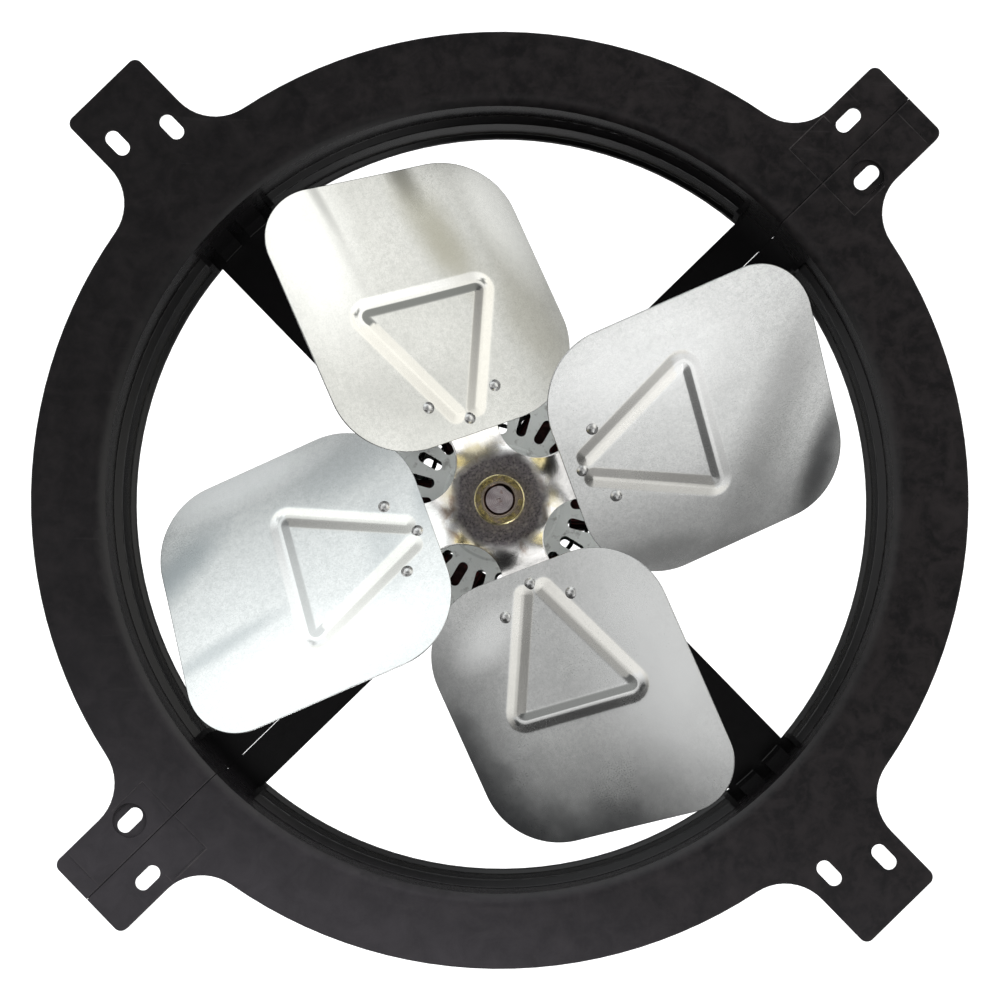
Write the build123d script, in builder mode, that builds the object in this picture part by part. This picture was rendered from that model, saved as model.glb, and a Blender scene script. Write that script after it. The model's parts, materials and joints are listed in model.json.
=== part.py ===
from build123d import *
import os
from math import asin, cos, degrees, radians, sin, sqrt

# Gable attic fan: a two-piece moulded shroud with four ears and four arms, a four-blade
# riveted fan, and the open motor that the arms carry. All sizes are in millimetres.
# The fan's axis is Y. The flange's front face is the plane Y = 0, air leaves towards -Y,
# the motor is on the +Y side, and +Z is up. The origin is on the axis in the flange's face.
# "Depth" is a distance behind the flange's face, along +Y.

os.makedirs("parts", exist_ok=True)

# ---------------------------------------------------------------- driving dimensions
SWEPT_DIAMETER = 355.6            # a 14 inch fan

# shroud ring
RING_R = 223.5                    # outer radius of the flange
SHOULDER_R = 194.5                # where the flat flange starts to round into the throat
THROAT_R = 188.0
SHOULDER_ROUND = 10.0
SHOULDER_DEPTH = SHOULDER_ROUND - sqrt(SHOULDER_ROUND**2 - (SHOULDER_R - THROAT_R) ** 2)
WALL_START = 8.0                  # depth where the throat's wall is down to its own thickness
POCKET_DEPTH = 10.0
STEP_R = 183.4                    # second band of the throat
LIP_R = 180.4                     # lip at the back of the throat
STEP_DEPTH = 31.0
LIP_DEPTH = 60.5
THROAT_DEPTH = 66.0
DRAFT = 0.6                       # how far each band closes towards the back
WALL = 2.5
FLANGE_T = 3.0
RIM_DEPTH = 8.0                   # the turned rim all round the flange and ears
RIM_ROUND = 0.6
GUSSET_T = 2.2

# ears
EAR_REACH = 273.5                 # axis to the ear's end
EAR_W = 46.2
EAR_CORNER = 4.0
EAR_BLEND = 24.3
SLOT_L = 14.2
SLOT_W = 7.3
PLAIN_EAR_SLOTS = [(249.5, 12.0), (236.9, -12.0)]     # radius, offset to the left of the ear
SEAM_EAR_SLOTS = [(245.7, 12.8), (232.8, -12.8)]
PLAIN_EARS = [135.0, 315.0]
SEAM_EARS = [45.0, 225.0]

# lap joint in the seam ears
LAP_START = 216.0
LAP_END = 265.2
LAP_HALF_W = 19.6
LAP_SKIN = 1.5                    # the front layer's thickness
LAP_BACK = 4.0                    # depth of the tongue's back
LAP_FIT = 0.2
LAP_SIDE_FIT = 0.05               # closer at the sides, so no light shows past the tongue
LAP_STRIP_W = 4.0                 # the narrow end of the tongue, out to the ear's edge
LAP_HOLE_R = 8.2                  # round hole in the front layer about one slot
SEAM_GAP = 0.15                   # each half stands this far off the seam
WITNESS_W = 0.45                  # the fine lines that the lap leaves on the front face
WITNESS_DEPTH = 0.15

# flanges, bolts and nuts behind the seam
SEAM_FLANGE_HALF = 3.5            # thickness on each side of the seam
SEAM_BOLT_R = 2.0
SEAM_BOLT_FIT = 0.2
SEAM_BOLT_AT = (THROAT_R + 17, 14.0)      # radius and depth
SEAM_HEAD_R = 3.5
SEAM_HEAD_T = 2.8
SEAM_NUT_T = 3.2

# arms
ARM_W = 35.8
ARM_FRONT = 62.0
ARM_T = 3.0
ARM_RIB_T = 2.5
ARM_RIB_BACK = 73.0
ARM_SLIT = 0.6                    # the gap between the two half arms at each seam
ARM_SLIT_END = LIP_R - 2          # it stops just short of the throat's wall
ARM_TAB_R = 9.0
ARM_RIB_START = 68.0
POCKET_HALF_W = 19.6              # the throat's steps stop this far from a whole arm's middle
SEAM_POCKET_HALF_W = 18.0
POCKET_BLOCK = (3.0, 14.0)        # two short stepped blocks inside each whole arm's pocket

# fan
BLADE_COUNT = 4
FIRST_BLADE_ANGLE = 21.2
BLADE_T = 1.0
BLADE_PLANE = 36.0                # depth of the blade's back face on its own middle line
CAMBER_R = 372.0
PITCH = 23.0                      # blade slope on its middle line, degrees
BEAD_RISE = 1.8
BEAD_W = 4.8
RIVET_R = 1.6
RIVET_SPOTS = [(42.8, 0.0), (54.0, 17.0), (54.0, -17.0)]
SPIDER_T = 2.0
SPIDER_FLAT_R = 23.0
SCALLOP_R = 20.0
SCALLOP_CENTRE = 45.0
PAD_END = 64.0
PAD_HALF_W = 25.0

# hub and shaft
SHAFT_R = 7.0
COLLAR_R = 12.2
COLLAR_FRONT = 18.0
COLLAR_NECK_R = 9.6
COLLAR_BORE_FIT = 0.03
SHAFT_FLAT = 5.9                  # distance of the shaft's flat from the axis
SHAFT_FLAT_ANGLE = 50.0
SET_SCREW_R = 2.9
SET_SCREW_DEPTH = 27.0

# motor
MOTOR_R = 63.0
SHELL_R = 61.5
SHELL_T = 1.5
BELL_T = 2.0
FRONT_BELL_FACE = 70.0
REAR_BELL_FACE = 141.0
SKIRT = 14.0
VENT_COUNT = 24
VENT_IN = 34.4
VENT_OUT = 47.3
VENT_W = 5.1
BOLT_CIRCLE_R = 57.0
BOLT_R = 2.5
BOLT_HOLE_R = 2.8
STACK_FRONT = 88.0
STACK_LENGTH = 34.0
POLES = 6
BEARING_FIT = 0.03
REAR_SHAFT_R = 6.0
BEARING_R = 11.0


# ---------------------------------------------------------------- planes and places
def front(depth):
    """A sketch plane at a depth, seen from the front: x is +X and y is +Z."""
    return Plane.XZ.offset(-depth)


def side(angle):
    """A plane through the axis: x is outward at the angle, y is depth."""
    a = radians(angle)
    return Plane(origin=(0, 0, 0), x_dir=(cos(a), 0, sin(a)), z_dir=(-sin(a), 0, cos(a)))


def outline(angle, depth):
    """A front plane turned to an angle: x is outward, y is to the left of that."""
    a = radians(angle)
    return Plane(origin=(0, depth, 0), x_dir=(cos(a), 0, sin(a)), z_dir=(0, -1, 0))


def section(angle, radius, depth):
    """A plane across a radius: x is to its left, y is towards the front."""
    a = radians(angle)
    return Plane(
        origin=(radius * cos(a), depth, radius * sin(a)),
        x_dir=(-sin(a), 0, cos(a)),
        z_dir=(cos(a), 0, sin(a)),
    )


def spot(angle, radius, offset=0.0):
    """A place on a front plane, turned so that its x is outward."""
    a = radians(angle)
    x = radius * cos(a) - offset * sin(a)
    z = radius * sin(a) + offset * cos(a)
    return Location((x, z, 0), (0, 0, angle))


def finish(piece, name):
    piece.part.label = name
    export_step(piece.part, f"parts/{name}.step")


# ---------------------------------------------------------------- shroud
def ear_outline():
    """The flange's outline with its four ears, filled in to the middle."""
    with BuildSketch(mode=Mode.PRIVATE) as face:
        Circle(RING_R)
        with PolarLocations(0, 4, start_angle=45):
            Rectangle(EAR_REACH, EAR_W, align=(Align.MIN, Align.CENTER))
        corners = face.vertices()
        fillet(corners.filter_by(lambda v: Vector(*v).length > RING_R + 1), EAR_CORNER)
        roots = face.vertices().filter_by(lambda v: abs(Vector(*v).length - RING_R) < 0.01)
        fillet(roots, EAR_BLEND)
    return face.sketch


EAR_FACE = ear_outline()
EARS = [(a, PLAIN_EAR_SLOTS) for a in PLAIN_EARS] + [(a, SEAM_EAR_SLOTS) for a in SEAM_EARS]

with BuildPart() as shroud_blank:
    # the throat: a rounded shoulder and two bands, each with a small ledge behind it
    with BuildSketch(Plane.XY) as throat:
        with BuildLine():
            shoulder = RadiusArc((SHOULDER_R, 0), (THROAT_R, SHOULDER_DEPTH), SHOULDER_ROUND)
            inner = Polyline(
                shoulder @ 1,
                (THROAT_R - DRAFT, STEP_DEPTH - 1),
                (STEP_R, STEP_DEPTH + 0.6),
                (STEP_R - DRAFT, LIP_DEPTH - 1),
                (LIP_R, LIP_DEPTH + 0.6),
                (LIP_R, THROAT_DEPTH),
                (LIP_R + WALL, THROAT_DEPTH),
                (LIP_R + WALL, LIP_DEPTH + 1.5),
                (STEP_R - DRAFT + WALL, LIP_DEPTH + 0.5),
                (STEP_R + WALL, STEP_DEPTH + 2),
                (THROAT_R - DRAFT + WALL, STEP_DEPTH + 0.8),
                (THROAT_R + WALL, WALL_START),
                (THROAT_R + WALL + 1, FLANGE_T + 1),
                (RING_R - WALL, FLANGE_T),
                (RING_R - WALL, 0),
                (SHOULDER_R, 0),
            )
        make_face()
        ledges = throat.vertices().filter_by(
            lambda v: v.X < THROAT_R and 20 < v.Y < THROAT_DEPTH - 1
        )
        fillet(ledges, 0.8)
        lip = throat.vertices().filter_by(lambda v: v.X < THROAT_R + 1 and 1 < v.Y < WALL_START - 1)
        fillet(lip, 0.4)
    revolve(axis=Axis.Y)

    # flange and ears
    with BuildSketch(front(0)):
        add(EAR_FACE)
        Circle(SHOULDER_R, mode=Mode.SUBTRACT)
    extrude(amount=-FLANGE_T)
    with BuildSketch(front(FLANGE_T)):
        add(EAR_FACE)
        offset(EAR_FACE, amount=-WALL, mode=Mode.SUBTRACT)
    extrude(amount=-(RIM_DEPTH - FLANGE_T))
    front_edges = shroud_blank.edges().filter_by_position(Axis.Y, -0.01, 0.01)
    rim_edges = front_edges.filter_by(
        lambda e: min(Vector(*v).length for v in e.vertices()) > RING_R - 1
    )
    fillet(rim_edges, RIM_ROUND)

    # gussets between the flange's back and the throat's wall
    for angle in [22.5 * k for k in range(16) if (22.5 * k) % 90 != 45]:
        with BuildSketch(side(angle)):
            Polygon(
                (THROAT_R + 1, FLANGE_T - 0.5), (RING_R - 2, FLANGE_T - 0.5),
                (RING_R - 2, FLANGE_T + 2), (THROAT_R + WALL + 1, STEP_DEPTH - 1),
                (THROAT_R + 1, STEP_DEPTH - 1), align=None,
            )
        extrude(amount=GUSSET_T / 2, both=True)

    # the throat is brought out to its full radius at each arm, as a pocket in the steps
    for angle in PLAIN_EARS + SEAM_EARS:
        half = POCKET_HALF_W if angle in PLAIN_EARS else SEAM_POCKET_HALF_W
        with BuildSketch(outline(angle, STEP_DEPTH - 3)):
            Circle(THROAT_R + WALL)
            Circle(LIP_R + 0.5, mode=Mode.SUBTRACT)
            Rectangle(RING_R, 2 * (half + WALL), align=(Align.MIN, Align.CENTER),
                      mode=Mode.INTERSECT)
        extrude(amount=-(THROAT_DEPTH - STEP_DEPTH + 3))
        bays = [(-half, half)]
        if angle in PLAIN_EARS:
            low, high = POCKET_BLOCK
            bays = [(-half, -high), (-low, low), (high, half)]
        with BuildSketch(outline(angle, POCKET_DEPTH)):
            for start, end in bays:
                with Locations((LIP_R - 20, start)):
                    Rectangle(40, end - start, align=(Align.MIN, Align.MIN))
            Circle(THROAT_R - DRAFT / 2, mode=Mode.INTERSECT)
        extrude(amount=-(ARM_FRONT - POCKET_DEPTH), mode=Mode.SUBTRACT)

    # arms: a flat plate with ribs behind it, narrowing to a round tab over the motor
    with BuildSketch(front(ARM_FRONT)):
        with PolarLocations(0, 4, start_angle=45):
            Polygon(
                (BOLT_CIRCLE_R, -ARM_TAB_R), (76, -ARM_W / 2), (THROAT_R + 1, -ARM_W / 2),
                (THROAT_R + 1, ARM_W / 2), (76, ARM_W / 2), (BOLT_CIRCLE_R, ARM_TAB_R),
                align=None,
            )
        with PolarLocations(BOLT_CIRCLE_R, 4, start_angle=45):
            Circle(ARM_TAB_R)
    extrude(amount=-ARM_T)
    with BuildSketch(front(ARM_FRONT)):
        with PolarLocations(0, 4, start_angle=45):
            for offset_t in (-ARM_W / 2 + ARM_RIB_T / 2, 0, ARM_W / 2 - ARM_RIB_T / 2):
                width = 2 * ARM_RIB_T + ARM_SLIT if offset_t == 0 else ARM_RIB_T
                with Locations((78, offset_t)):
                    Rectangle(THROAT_R - 78, width, align=(Align.MIN, Align.CENTER))
    extrude(amount=-(ARM_RIB_BACK - ARM_FRONT))

    # slots in the ears and bolt holes in the arms
    with BuildSketch(front(-1)):
        for angle, slots in EARS:
            with Locations(*[spot(angle, r, t) for r, t in slots]):
                SlotOverall(SLOT_L, SLOT_W)
        with PolarLocations(BOLT_CIRCLE_R, 4, start_angle=45):
            Circle(BOLT_HOLE_R)
    extrude(amount=-(ARM_RIB_BACK + 2), mode=Mode.SUBTRACT)

# Each half is the same moulding, turned half a turn about the fan's axis. At its first end
# (45 degrees) it carries the tongue of the lap joint and the front layer of the arm's tab; at
# its other end (225 degrees) it carries the thin front skin and the back layer of the tab.
SEAM_NORMAL = (-sqrt(0.5), 0, sqrt(0.5))
TAB_ZONE = ARM_RIB_START + 4
TAB_END_HALF_W = 15.8

with BuildPart() as shroud_half:
    add(shroud_blank.part)
    # flanges behind the seam, which a bolt pulls together
    for angle in SEAM_EARS:
        with BuildSketch(side(angle)):
            Polygon(
                (THROAT_R + 1, FLANGE_T - 0.5), (RING_R - 4, FLANGE_T - 0.5),
                (RING_R - 4, 20), (THROAT_R + 8, STEP_DEPTH), (THROAT_R + 1, STEP_DEPTH),
                align=None,
            )
        extrude(amount=SEAM_FLANGE_HALF, both=True)
    split(bisect_by=Plane(
        origin=Vector(*SEAM_NORMAL) * SEAM_GAP, x_dir=(0, 1, 0), z_dir=SEAM_NORMAL
    ), keep=Keep.TOP)
    # the see-through slit between the two half arms
    with BuildSketch(front(ARM_FRONT - 1)):
        with PolarLocations(0, 2, start_angle=SEAM_EARS[0]):
            with Locations((TAB_ZONE - 1, 0)):
                Rectangle(ARM_SLIT_END - TAB_ZONE + 1, ARM_SLIT,
                          align=(Align.MIN, Align.CENTER))
    extrude(amount=-(ARM_RIB_BACK - ARM_FRONT + 2), mode=Mode.SUBTRACT)
    # the two half tabs are cut away and replaced by one whole layer each
    with BuildSketch(front(ARM_FRONT - 1)):
        with PolarLocations(0, 2, start_angle=SEAM_EARS[0]):
            with Locations((BOLT_CIRCLE_R - 12, 0)):
                Rectangle(TAB_ZONE - BOLT_CIRCLE_R + 12, ARM_W + 4,
                          align=(Align.MIN, Align.CENTER))
    extrude(amount=-(ARM_T + 2), mode=Mode.SUBTRACT)
    for angle, top in ((SEAM_EARS[0], ARM_FRONT), (SEAM_EARS[1], ARM_FRONT + ARM_T / 2 + 0.05)):
        with BuildSketch(outline(angle, top)):
            Polygon(
                (BOLT_CIRCLE_R, -ARM_TAB_R), (TAB_ZONE - 0.3, -TAB_END_HALF_W),
                (TAB_ZONE - 0.3, TAB_END_HALF_W),
                (BOLT_CIRCLE_R, ARM_TAB_R), align=None,
            )
            with Locations((BOLT_CIRCLE_R, 0)):
                Circle(ARM_TAB_R)
            # the strip that carries the layer on to this half's own side of the arm
            side_of_seam = -1 if angle == SEAM_EARS[1] else 1
            strip_w = TAB_END_HALF_W - ARM_SLIT / 2
            with Locations((TAB_ZONE - 1, side_of_seam * (ARM_SLIT + strip_w) / 2)):
                Rectangle(6, strip_w, align=(Align.MIN, Align.CENTER))
            with Locations((BOLT_CIRCLE_R, 0)):
                Circle(BOLT_HOLE_R, mode=Mode.SUBTRACT)
        extrude(amount=-(ARM_T / 2 - 0.05))
    # the thin skin at the far end, with a round hole about its slot
    with BuildSketch(outline(SEAM_EARS[1], LAP_SKIN)):
        with Locations((LAP_START, -LAP_HALF_W)):
            Rectangle(LAP_END - LAP_START, LAP_HALF_W + 1, align=(Align.MIN, Align.MIN))
        with Locations((LAP_END - 1, -LAP_STRIP_W)):
            Rectangle(EAR_REACH - LAP_END + 2, LAP_STRIP_W + 1, align=(Align.MIN, Align.MIN))
    extrude(amount=-RIM_DEPTH, mode=Mode.SUBTRACT)
    wide_r, wide_t = SEAM_EAR_SLOTS[1]
    with BuildSketch(outline(SEAM_EARS[1], -1)):
        with Locations((wide_r, wide_t)):
            Circle(LAP_HOLE_R)
    extrude(amount=-(LAP_SKIN + 1.5), mode=Mode.SUBTRACT)
    # the tongue at the near end
    with BuildSketch(outline(SEAM_EARS[0], LAP_SKIN + LAP_FIT / 2)):
        with Locations((LAP_START + LAP_FIT, -LAP_HALF_W + LAP_SIDE_FIT)):
            Rectangle(LAP_END - LAP_START - 2 * LAP_FIT, 2 * (LAP_HALF_W - LAP_SIDE_FIT),
                      align=(Align.MIN, Align.MIN))
        with Locations((LAP_END - 2, -LAP_STRIP_W + LAP_FIT)):
            Rectangle(EAR_REACH - LAP_END + 1.2, LAP_STRIP_W + 1, align=(Align.MIN, Align.MIN))
        with Locations(*[Location((r, t)) for r, t in SEAM_EAR_SLOTS]):
            SlotOverall(SLOT_L, SLOT_W, mode=Mode.SUBTRACT)
    extrude(amount=-(LAP_BACK - LAP_SKIN - LAP_FIT / 2))
    # bolt holes through the seam flanges
    for angle in SEAM_EARS:
        with BuildSketch(side(angle)):
            with Locations(SEAM_BOLT_AT):
                Circle(SEAM_BOLT_R + SEAM_BOLT_FIT)
        extrude(amount=2 * SEAM_FLANGE_HALF, both=True, mode=Mode.SUBTRACT)
    # fine lines that the lap's edges leave on the front face
    with BuildSketch(outline(SEAM_EARS[0], -0.5)):
        with Locations((LAP_START, 0)):
            Rectangle(WITNESS_W, LAP_HALF_W + 2, align=(Align.CENTER, Align.MIN))
        with Locations((LAP_START, LAP_HALF_W + 2)):
            Rectangle(20, WITNESS_W, align=(Align.MIN, Align.CENTER))
    extrude(amount=-(0.5 + WITNESS_DEPTH), mode=Mode.SUBTRACT)
    with BuildSketch(outline(SEAM_EARS[1], -0.5)):
        with Locations((LAP_START, 0)):
            Rectangle(WITNESS_W, LAP_HALF_W + 2, align=(Align.CENTER, Align.MAX))
        with Locations((LAP_START, -LAP_HALF_W - 2)):
            Rectangle(18, WITNESS_W, align=(Align.MIN, Align.CENTER))
        with Locations((LAP_END, -6)):
            Rectangle(WITNESS_W, 14, align=(Align.CENTER, Align.MAX))
    extrude(amount=-(0.5 + WITNESS_DEPTH), mode=Mode.SUBTRACT)

with BuildPart() as shroud_half_upper:
    add(shroud_half.part)
finish(shroud_half_upper, "shroud_half_upper")

with BuildPart() as shroud_half_lower:
    add(shroud_half.part.rotate(Axis.Y, 180))
finish(shroud_half_lower, "shroud_half_lower")

# bolts and nuts that pull the two halves together, behind the flange
with BuildPart() as seam_bolts:
    for angle in SEAM_EARS:
        with BuildSketch(side(angle).offset(-SEAM_FLANGE_HALF)):
            with Locations(SEAM_BOLT_AT):
                Circle(SEAM_BOLT_R)
        extrude(amount=2 * SEAM_FLANGE_HALF + 5)
        with BuildSketch(side(angle).offset(-SEAM_FLANGE_HALF)):
            with Locations(SEAM_BOLT_AT):
                RegularPolygon(SEAM_HEAD_R, 6, major_radius=False)
        extrude(amount=-SEAM_HEAD_T)
finish(seam_bolts, "seam_bolts")

with BuildPart() as seam_nuts:
    for angle in SEAM_EARS:
        with BuildSketch(side(angle).offset(SEAM_FLANGE_HALF)):
            with Locations(SEAM_BOLT_AT):
                RegularPolygon(SEAM_HEAD_R, 6, major_radius=False)
                Circle(SEAM_BOLT_R + 0.02, mode=Mode.SUBTRACT)
        extrude(amount=SEAM_NUT_T)
finish(seam_nuts, "seam_nuts")


# ---------------------------------------------------------------- fan blades
def camber_point(v, layer=0.0):
    """A point of the blade's section: v to its left, and a layer's height in front of the
    blade's back face. The section is one arc, hollow towards the front."""
    slope = asin(sin(radians(PITCH)) + v / CAMBER_R)
    r = CAMBER_R - layer
    return (
        r * sin(slope) - CAMBER_R * sin(radians(PITCH)),
        CAMBER_R * cos(radians(PITCH)) - r * cos(slope),
    )


def camber_strip(low_v, high_v, back, face):
    """The section of a sheet between two heights above the blade's back face."""
    with BuildLine() as lines:
        under = ThreePointArc(
            camber_point(low_v, back), camber_point((low_v + high_v) / 2, back),
            camber_point(high_v, back),
        )
        over = ThreePointArc(
            camber_point(low_v, face), camber_point((low_v + high_v) / 2, face),
            camber_point(high_v, face),
        )
        Line(under @ 0, over @ 0)
        Line(under @ 1, over @ 1)
    return lines.edges()


def blade_corner(along, across):
    """Where an edge u = a + b v (along) meets an edge v = c + d u (across)."""
    (a, b), (c, d) = along, across
    u = (a + b * c) / (1 - b * d)
    return (u, c + d * u)


# The blade's outline, seen from the front: u is outward along the blade's middle line and v
# is to its left. Each edge is straight; u = a + b v at the ends, v = c + d u along the sides.
ROOT_EDGE = (35.1, 0.0)
TIP_EDGE = (170.0, 0.092)
LEFT_EDGE = (54.9, 0.055)
RIGHT_EDGE = (-65.7, 0.0698)
ROOT_ROUND = 37.0
TIP_LEFT_ROUND = 25.0
TIP_RIGHT_ROUND = 38.0
OUTLINE_CORNERS = [
    blade_corner(ROOT_EDGE, RIGHT_EDGE), blade_corner(TIP_EDGE, RIGHT_EDGE),
    blade_corner(TIP_EDGE, LEFT_EDGE), blade_corner(ROOT_EDGE, LEFT_EDGE),
]
OUTLINE_ROUNDS = [ROOT_ROUND, TIP_RIGHT_ROUND, TIP_LEFT_ROUND, ROOT_ROUND]
SIDE_REACH = 78.0                 # how far the section runs each side before it is trimmed
# the stamped bead: a triangle open at its inner point
BEAD_PATH = [(46.9, -5.1), (105.3, -31.4), (109.9, 35.3), (46.8, 5.3)]
BEAD_CORNER = 4.5


def rivet_plane(angle, u, v):
    """On the face where blade and spider meet, looking out along the blade's own normal."""
    a = radians(angle)
    slope = asin(sin(radians(PITCH)) + v / CAMBER_R)
    w = camber_point(v)[1]
    outward = Vector(cos(a), 0, sin(a))
    left = Vector(-sin(a), 0, cos(a))
    return Plane(
        origin=outward * u + left * v + Vector(0, BLADE_PLANE - w, 0),
        x_dir=outward,
        z_dir=left * -sin(slope) + Vector(0, -cos(slope), 0),
    )


blade_angles = [FIRST_BLADE_ANGLE + 360 / BLADE_COUNT * k for k in range(BLADE_COUNT)]
for number, angle in enumerate(blade_angles, start=1):
    with BuildPart() as bead:
        with BuildSketch(section(angle, BEAD_PATH[0][0] - 6, BLADE_PLANE)):
            make_face(camber_strip(-45, 50, BLADE_T / 2, BLADE_T + BEAD_RISE))
        extrude(amount=80)
        with BuildSketch(outline(angle, BLADE_PLANE + 40)):
            with BuildLine():
                bead_line = FilletPolyline(*BEAD_PATH, radius=BEAD_CORNER)
            trace(bead_line, line_width=BEAD_W)
        extrude(amount=90, mode=Mode.INTERSECT)
    with BuildPart() as blade:
        with BuildSketch(section(angle, ROOT_EDGE[0] - 5, BLADE_PLANE)):
            make_face(camber_strip(-SIDE_REACH, SIDE_REACH, 0, BLADE_T))
        extrude(amount=SWEPT_DIAMETER / 2 - ROOT_EDGE[0] + 10)
        with BuildSketch(outline(angle, BLADE_PLANE + 40)):
            with BuildLine():
                Polyline(*OUTLINE_CORNERS, close=True)
            make_face()
            for corner, radius in zip(OUTLINE_CORNERS, OUTLINE_ROUNDS):
                fillet(vertices().sort_by_distance(corner)[0], radius)
        extrude(amount=100, mode=Mode.INTERSECT)
        add(bead.part)
        with Locations(*[rivet_plane(angle, u, v) for u, v in RIVET_SPOTS]):
            Cylinder(RIVET_R + 0.05, 8, mode=Mode.SUBTRACT)
    finish(blade, f"blade_{number}")

    with BuildPart() as rivets:
        for u, v in RIVET_SPOTS:
            with Locations(rivet_plane(angle, u, v)):
                Cylinder(RIVET_R, SPIDER_T + BLADE_T + 1.2)
                with Locations((0, 0, BLADE_T + 0.05)):
                    Cylinder(2.9, 1.3, align=(Align.CENTER, Align.CENTER, Align.MIN))
                with Locations((0, 0, -SPIDER_T - 0.05)):
                    Cylinder(2.6, 1.1, align=(Align.CENTER, Align.CENTER, Align.MAX))
        heads = rivets.edges().filter_by(GeomType.CIRCLE).filter_by(
            lambda e: 2.5 < e.radius < 3
        )
        fillet([e for e in heads if min(
            abs((rivet_plane(angle, u, v).to_local_coords(e.center())).Z - (BLADE_T + 1.35))
            for u, v in RIVET_SPOTS) < 0.01], 1.0)
    finish(rivets, f"rivets_{number}")

# ---------------------------------------------------------------- spider
with BuildPart() as fan_spider:
    with BuildSketch(front(BLADE_PLANE)):
        Circle(SPIDER_FLAT_R)
    extrude(amount=-SPIDER_T)
    for angle in blade_angles:
        # the twisted neck between the flat middle and the blade's pad
        with BuildSketch(section(angle, SPIDER_FLAT_R - 5, BLADE_PLANE)):
            Polygon((-15, -SPIDER_T), (15, -SPIDER_T), (15, 0), (-15, 0), align=None)
        with BuildSketch(section(angle, ROOT_EDGE[0] + 1, BLADE_PLANE)):
            make_face(camber_strip(-PAD_HALF_W, PAD_HALF_W, -SPIDER_T, 0))
        loft()
        with BuildSketch(section(angle, ROOT_EDGE[0] + 1, BLADE_PLANE)):
            make_face(camber_strip(-PAD_HALF_W, PAD_HALF_W, -SPIDER_T, 0))
        extrude(amount=PAD_END - ROOT_EDGE[0] - 1)
    # the hollows between the arms, and the pads' rounded ends
    with BuildSketch(front(BLADE_PLANE - 30)):
        with PolarLocations(SCALLOP_CENTRE, 4, start_angle=FIRST_BLADE_ANGLE + 45):
            Circle(SCALLOP_R)
    extrude(amount=-60, mode=Mode.SUBTRACT)
    with BuildSketch(front(BLADE_PLANE - 30)):
        Circle(COLLAR_NECK_R)
    extrude(amount=-60, mode=Mode.SUBTRACT)
    for angle in blade_angles:
        with Locations(*[rivet_plane(angle, u, v) for u, v in RIVET_SPOTS]):
            Cylinder(RIVET_R + 0.05, 8, mode=Mode.SUBTRACT)
finish(fan_spider, "fan_spider")

# ---------------------------------------------------------------- hub collar, set screw, shaft
with BuildPart() as hub_collar:
    with BuildSketch(Plane.XY):
        with BuildLine():
            bore = SHAFT_R + COLLAR_BORE_FIT
            Polyline(
                (bore + 0.8, COLLAR_FRONT), (COLLAR_R - 0.7, COLLAR_FRONT),
                (COLLAR_R, COLLAR_FRONT + 0.7), (COLLAR_R, BLADE_PLANE),
                (COLLAR_NECK_R, BLADE_PLANE), (COLLAR_NECK_R, BLADE_PLANE + SPIDER_T),
                (COLLAR_NECK_R + 1.4, BLADE_PLANE + SPIDER_T),
                (COLLAR_NECK_R + 0.6, BLADE_PLANE + SPIDER_T + 1.6),
                (bore, BLADE_PLANE + SPIDER_T + 1.6), (bore, COLLAR_FRONT + 0.8),
                (bore + 0.8, COLLAR_FRONT),
            )
        make_face()
    revolve(axis=Axis.Y)
    with BuildSketch(section(SHAFT_FLAT_ANGLE, 0, SET_SCREW_DEPTH)):
        Circle(SET_SCREW_R + 0.05)
    extrude(amount=COLLAR_R + 5, mode=Mode.SUBTRACT)
finish(hub_collar, "hub_collar")

with BuildPart() as hub_set_screw:
    with BuildSketch(section(SHAFT_FLAT_ANGLE, SHAFT_FLAT + 0.02, SET_SCREW_DEPTH)):
        Circle(SET_SCREW_R)
    extrude(amount=COLLAR_R - SHAFT_FLAT - 1.0)
    with BuildSketch(section(SHAFT_FLAT_ANGLE, COLLAR_R, SET_SCREW_DEPTH)):
        RegularPolygon(1.5, 6, major_radius=False)
    extrude(amount=-3.2, mode=Mode.SUBTRACT)
finish(hub_set_screw, "hub_set_screw")

STACK_BACK = STACK_FRONT + STACK_LENGTH
REAR_STEP = STACK_BACK + 3
SHAFT_END = REAR_BELL_FACE + 1.0
RING_GROOVE_R = 5.6
RING_T = 1.0
FRONT_RING_AT = 84.3
REAR_RING_AT = REAR_STEP + 1.0

with BuildPart() as motor_shaft:
    with BuildSketch(Plane.XY):
        with BuildLine():
            Polyline(
                (0, COLLAR_FRONT + 1.5), (0.9, COLLAR_FRONT + 0.6),
                (SHAFT_R - 0.5, COLLAR_FRONT + 0.6),
                (SHAFT_R, COLLAR_FRONT + 1.1), (SHAFT_R, FRONT_RING_AT),
                (RING_GROOVE_R, FRONT_RING_AT), (RING_GROOVE_R, FRONT_RING_AT + RING_T),
                (SHAFT_R, FRONT_RING_AT + RING_T), (SHAFT_R, REAR_STEP),
                (REAR_SHAFT_R, REAR_STEP), (REAR_SHAFT_R, SHAFT_END - 0.6),
                (REAR_SHAFT_R - 0.6, SHAFT_END), (0, SHAFT_END),
                (0, COLLAR_FRONT + 1.5),
            )
        make_face()
    revolve(axis=Axis.Y)
    with BuildSketch(outline(SHAFT_FLAT_ANGLE, COLLAR_FRONT)):
        with Locations((SHAFT_FLAT, 0)):
            Rectangle(5, 20, align=(Align.MIN, Align.CENTER))
    extrude(amount=-22, mode=Mode.SUBTRACT)
finish(motor_shaft, "motor_shaft")


# ---------------------------------------------------------------- motor
def ring(inner_r, outer_r, start, end):
    """A plain ring about the fan's axis, added to the open BuildPart."""
    with BuildSketch(front(start)) as face:
        Circle(outer_r)
        Circle(inner_r, mode=Mode.SUBTRACT)
    extrude(face.sketch, amount=-(end - start))


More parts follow.
